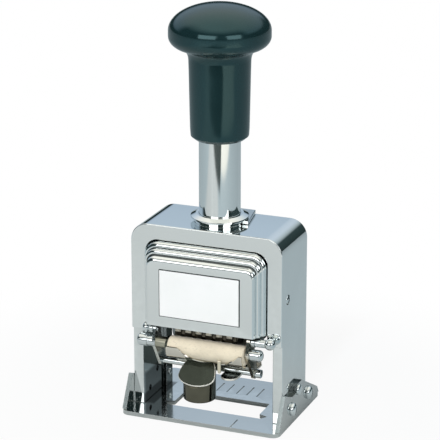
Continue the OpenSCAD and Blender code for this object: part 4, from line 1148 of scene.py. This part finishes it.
class MACHINE_OT_pad(bpy.types.Operator):
    """Felt, tray, bar and finger tab"""

    bl_idname = "machine.pad"
    bl_label = "Ink pad"

    CHEEK_OUT = 19.9
    LIP_X, LIP_Z, LIP_R = 4.3, 41.8, 16.3
    KNOB_X, KNOB_Y, KNOB_R, KNOB_BACK = -0.5, -19.4, 6.3, -17.6
    TAB_FRONT_Z, TAB_OVERHANG, TAB_T = 18.2, 1.2, 0.9

    def execute(self, context):
        fine = sizes().fine_edge
        softened("pad_cheek_left", "steel", fine)
        # Painted light: the right cheek takes the brighter, warm tray finish while the left keeps bright
        # steel, standing in for the light it catches
        softened("pad_cheek_right", "tray", fine)
        self.felt()
        self.tray()
        self.bar()
        self.tab()
        self.small_parts()
        return {"FINISHED"}

    @staticmethod
    def bar_room(r=BAR_R, y=BAR_Y, z=BAR_Z, parts=48):
        """Room for the bar, or another round piece, from side to side."""
        return made(round_bar, r, -EAR_X, EAR_X, (0, y, z), parts=parts)

    def tray_room(self):
        return self.bar_room(TRAY_R, NOSE_Y, NOSE_Z, 96)

    def felt(self):
        """Rolled front and the pad that runs on below the wheels, with a soft uneven nap."""
        loop = arc(NOSE_Y, NOSE_Z, NOSE_R, -11.2, 330, 56)
        loop += arc(WHEEL_Y, WHEEL_Z, FELT_OUT_R, -157.4, -80, 26)[1:]
        loop += arc(WHEEL_Y, WHEEL_Z, FELT_IN_R, -80, -162, 26)
        length, end_r, nap = FELT_RIGHT - FELT_LEFT, 0.5, sizes().felt_nap
        stations = [0, 0.06, 0.22, end_r] + [end_r + (length - 1) * k / 60 for k in range(1, 60)]
        stations += [length - e for e in (end_r, 0.22, 0.06, 0)]
        rows = []
        for x in stations:
            end = min(x, length - x, end_r)
            row = []
            for p in inset(loop, end_r - sqrt(max(0, end_r ** 2 - (end_r - end) ** 2))):
                away = Vector((p.x - NOSE_Y, p.y - NOSE_Z))
                if away.length < NOSE_R + 0.2 and p.x < NOSE_Y + 2:
                    lift = noise.noise(Vector((x * 1.1, p.x * 1.6, p.y * 1.6))) * nap
                    lift += noise.noise(Vector((x * 3.1, p.x * 4, p.y * 4))) * nap * 0.5
                    p = p + away.normalized() * (lift - nap)
                row.append((FELT_LEFT + x, p.x, p.y))
            rows.append(row)
        bm = carved(made(lofted, rows), self.bar_room())
        stand_in("felt_pad", bm, "felt", smooth=60)

    def lip_start(self, x):
        """Angle at which the lip's edge stands: high at the ends, low in the middle."""
        reach = self.LIP_R ** 2 - (x - self.LIP_X) ** 2
        if reach <= 0:
            return 168.0
        rise = (NOSE_Z - (self.LIP_Z - sqrt(reach))) / TRAY_R
        return max(168.0, 180 + degrees(asin(max(-0.2, min(1.0, rise)))))

    def tray(self):
        """Shell under the felt; its front lip dips to show the roll."""
        rows = []
        count, thin = 64, 0.03
        for k in range(count + 1):
            x = FELT_LEFT + (FELT_RIGHT - FELT_LEFT) * k / count
            a = self.lip_start(x)
            outer = arc(NOSE_Y, NOSE_Z, TRAY_R, a, 312, 22)
            outer += arc(WHEEL_Y, WHEEL_Z, TRAY_OUT_R, -151.5, -80, 22)
            inner = arc(NOSE_Y, NOSE_Z, NOSE_R + thin, a, 328, 22)
            inner += arc(WHEEL_Y, WHEEL_Z, FELT_OUT_R + thin, -156.5, -80, 22)
            tip = Vector((cos(radians(a)), sin(radians(a))))
            crown = Vector((NOSE_Y, NOSE_Z)) + tip * (NOSE_R + TRAY_R) / 2 - Vector((-tip.y, tip.x)) * 0.25
            rows.append([(x, p.x, p.y) for p in [crown] + outer + list(reversed(inner))])
        stand_in("pad_tray", made(lofted, rows), "tray", smooth=40)

    def bar(self):
        """Bar with its left knob, the dull sleeve, the dark ring, the right end cap and the lower rod."""
        centre = (0, BAR_Y, BAR_Z)
        start, end = span("pad_bar", 0)
        neck, knob, crown = -self.CHEEK_OUT, -22.3, 1.3
        profile = [(0, start)] + dome_path(2.4, start + crown, -crown, range(75, -1, -15))
        profile += soft_path([(2.4, start + crown), (2.4, knob), (2.1, knob), (2.1, neck), (BAR_R, neck),
                              (BAR_R, end), (0, end)], 0.12)[1:]
        lathe("pad_bar", "screw", profile, centre, "x", parts=48)
        sleeve = tube_path(BAR_R, 2.2, *span("pad_sleeve", 0), 0.15)
        lathe("pad_sleeve", "sleeve", sleeve, centre, "x", parts=48)
        ring = rod_path(3.8, *span("pad_ring", 0), 0.25)
        lathe("pad_ring", "tab", ring, (0, NOSE_Y, NOSE_Z), "x", parts=56, cutters=(self.bar_room(),))
        start, end = span("pad_end_cap", 0)
        slit = start + 0.5
        profile = [(0, 22.5), (BAR_R, 22.5), (BAR_R, start), (1.8, start), (1.8, slit), (2.2, slit),
                   (2.3, slit + 0.12)] + dome_path(2.3, end - 1.5, 1.5, range(0, 90, 12)) + [(0, end)]
        lathe("pad_end_cap", "screw", profile, centre, "x", parts=48)
        start, end = span("pad_rod", 0)
        profile = [(0, start)] + soft_path([(0, start), (ROD_R, start), (ROD_R, self.CHEEK_OUT),
                                            (1.7, self.CHEEK_OUT), (1.7, end), (0, end)], 0.25)[1:]
        lathe("pad_rod", "screw", profile, (0, ROD_Y, ROD_Z), "x", parts=40)

    def tab(self):
        """Sloping spade with a bright rim, partly worn and partly a painted highlight, over a half-round knob.
        """
        front_y = self.KNOB_Y - self.KNOB_R
        rim = self.KNOB_R + self.TAB_OVERHANG
        rise, run = NOSE_Z - TRAY_R - self.TAB_FRONT_Z, NOSE_Y - front_y
        length = hypot(rise, run) + self.TAB_OVERHANG
        bow = rim * 0.56
        outline = [Vector((rim * cos(radians(a)), bow + bow * sin(radians(a))))
                   for a in range(180, 361, 9)]
        side = [(0.985, 1.5), (0.93, 3.2), (0.84, 5.0), (0.74, length - bow - 1), (0.65, length - bow)]
        outline += [Vector((rim * s, bow + d)) for s, d in side]
        outline += [Vector((-rim * s, bow + d)) for s, d in reversed(side)]
        place = Matrix.Translation(Vector((self.KNOB_X, front_y, self.TAB_FRONT_Z)) * MM) @ Matrix.Rotation(
            atan2(rise, run), 4, "X") @ Matrix.Translation(Vector((0, -0.3, 0)) * MM)
        bm = bmesh.new()
        rim_finish(slab(bm, outline, -self.TAB_T, 0, 0.42, "xy", 4), 0.95)
        bmesh.ops.transform(bm, matrix=place, verts=bm.verts)
        stand_in("thumb_tab", carved(bm, self.tray_room()), "tab rim")
        under = made(block, (-EAR_X, -30, -self.TAB_T), (EAR_X, 30, 60))
        bmesh.ops.transform(under, matrix=place, verts=under.verts)
        back = made(block, (-EAR_X, self.KNOB_BACK, 0), (EAR_X, 30, 60))
        lathe("pull_knob", "pull", rod_path(self.KNOB_R, span("pull_knob")[0], NOSE_Z, 0.6, 4),
              (self.KNOB_X, self.KNOB_Y, 0), parts=96, cutters=(under, back, self.tray_room()))

    def small_parts(self):
        """Clip on the tray's front edge and the tongue beside the tab."""
        low, high = extent("pad_clip")
        outline = rounded([(low[0], low[2]), (high[0], low[2]), (high[0], high[2]), (low[0], high[2])],
                          [0.6, 0.6, 0.1, 0.1], 5)
        bm = made(slab, outline, low[1], high[1], 0.12, "xz", 2)
        stand_in("pad_clip", carved(bm, self.tray_room()), "brass")
        low, high = extent("release_tongue")
        r = (high[0] - low[0]) / 2
        bm = bmesh.new()
        outline = arc((high[0] + low[0]) / 2, low[1] + r, r, 180, 360, 24)
        outline += [Vector((high[0], high[1])), Vector((low[0], high[1]))]
        rim_finish(slab(bm, outline, low[2], high[2], 0.2, "xy", 3), 0.75)
        stand_in("release_tongue", carved(bm, self.bar_room(ROD_R, ROD_Y, ROD_Z)), "tab rim")


class MACHINE_PT_panel(bpy.types.Panel):
    """Lists the steps that build the machine"""

    bl_label = "Numbering machine"
    bl_idname = "MACHINE_PT_panel"
    bl_space_type = "VIEW_3D"
    bl_region_type = "UI"
    bl_category = "Numbering machine"

    def draw(self, context):
        for step in STEPS:
            self.layout.operator(step.bl_idname)


STEPS = (MACHINE_OT_stage, MACHINE_OT_frame, MACHINE_OT_cover, MACHINE_OT_plunger, MACHINE_OT_carriage,
         MACHINE_OT_pad)
CLASSES = (MachineSizes, MachineColours, MACHINE_PT_panel) + STEPS


def register():
    for cls in CLASSES:
        bpy.utils.register_class(cls)
    bpy.types.Scene.machine_sizes = PointerProperty(type=MachineSizes)
    bpy.types.Scene.machine_colours = PointerProperty(type=MachineColours)


def unregister():
    del bpy.types.Scene.machine_colours
    del bpy.types.Scene.machine_sizes
    for cls in reversed(CLASSES):
        bpy.utils.unregister_class(cls)


def main():
    register()
    bpy.ops.machine.stage()
    bpy.ops.machine.arch()
    bpy.ops.machine.cover()
    bpy.ops.machine.plunger()
    bpy.ops.machine.carriage()
    bpy.ops.machine.pad()


if __name__ == "__main__":
    main()
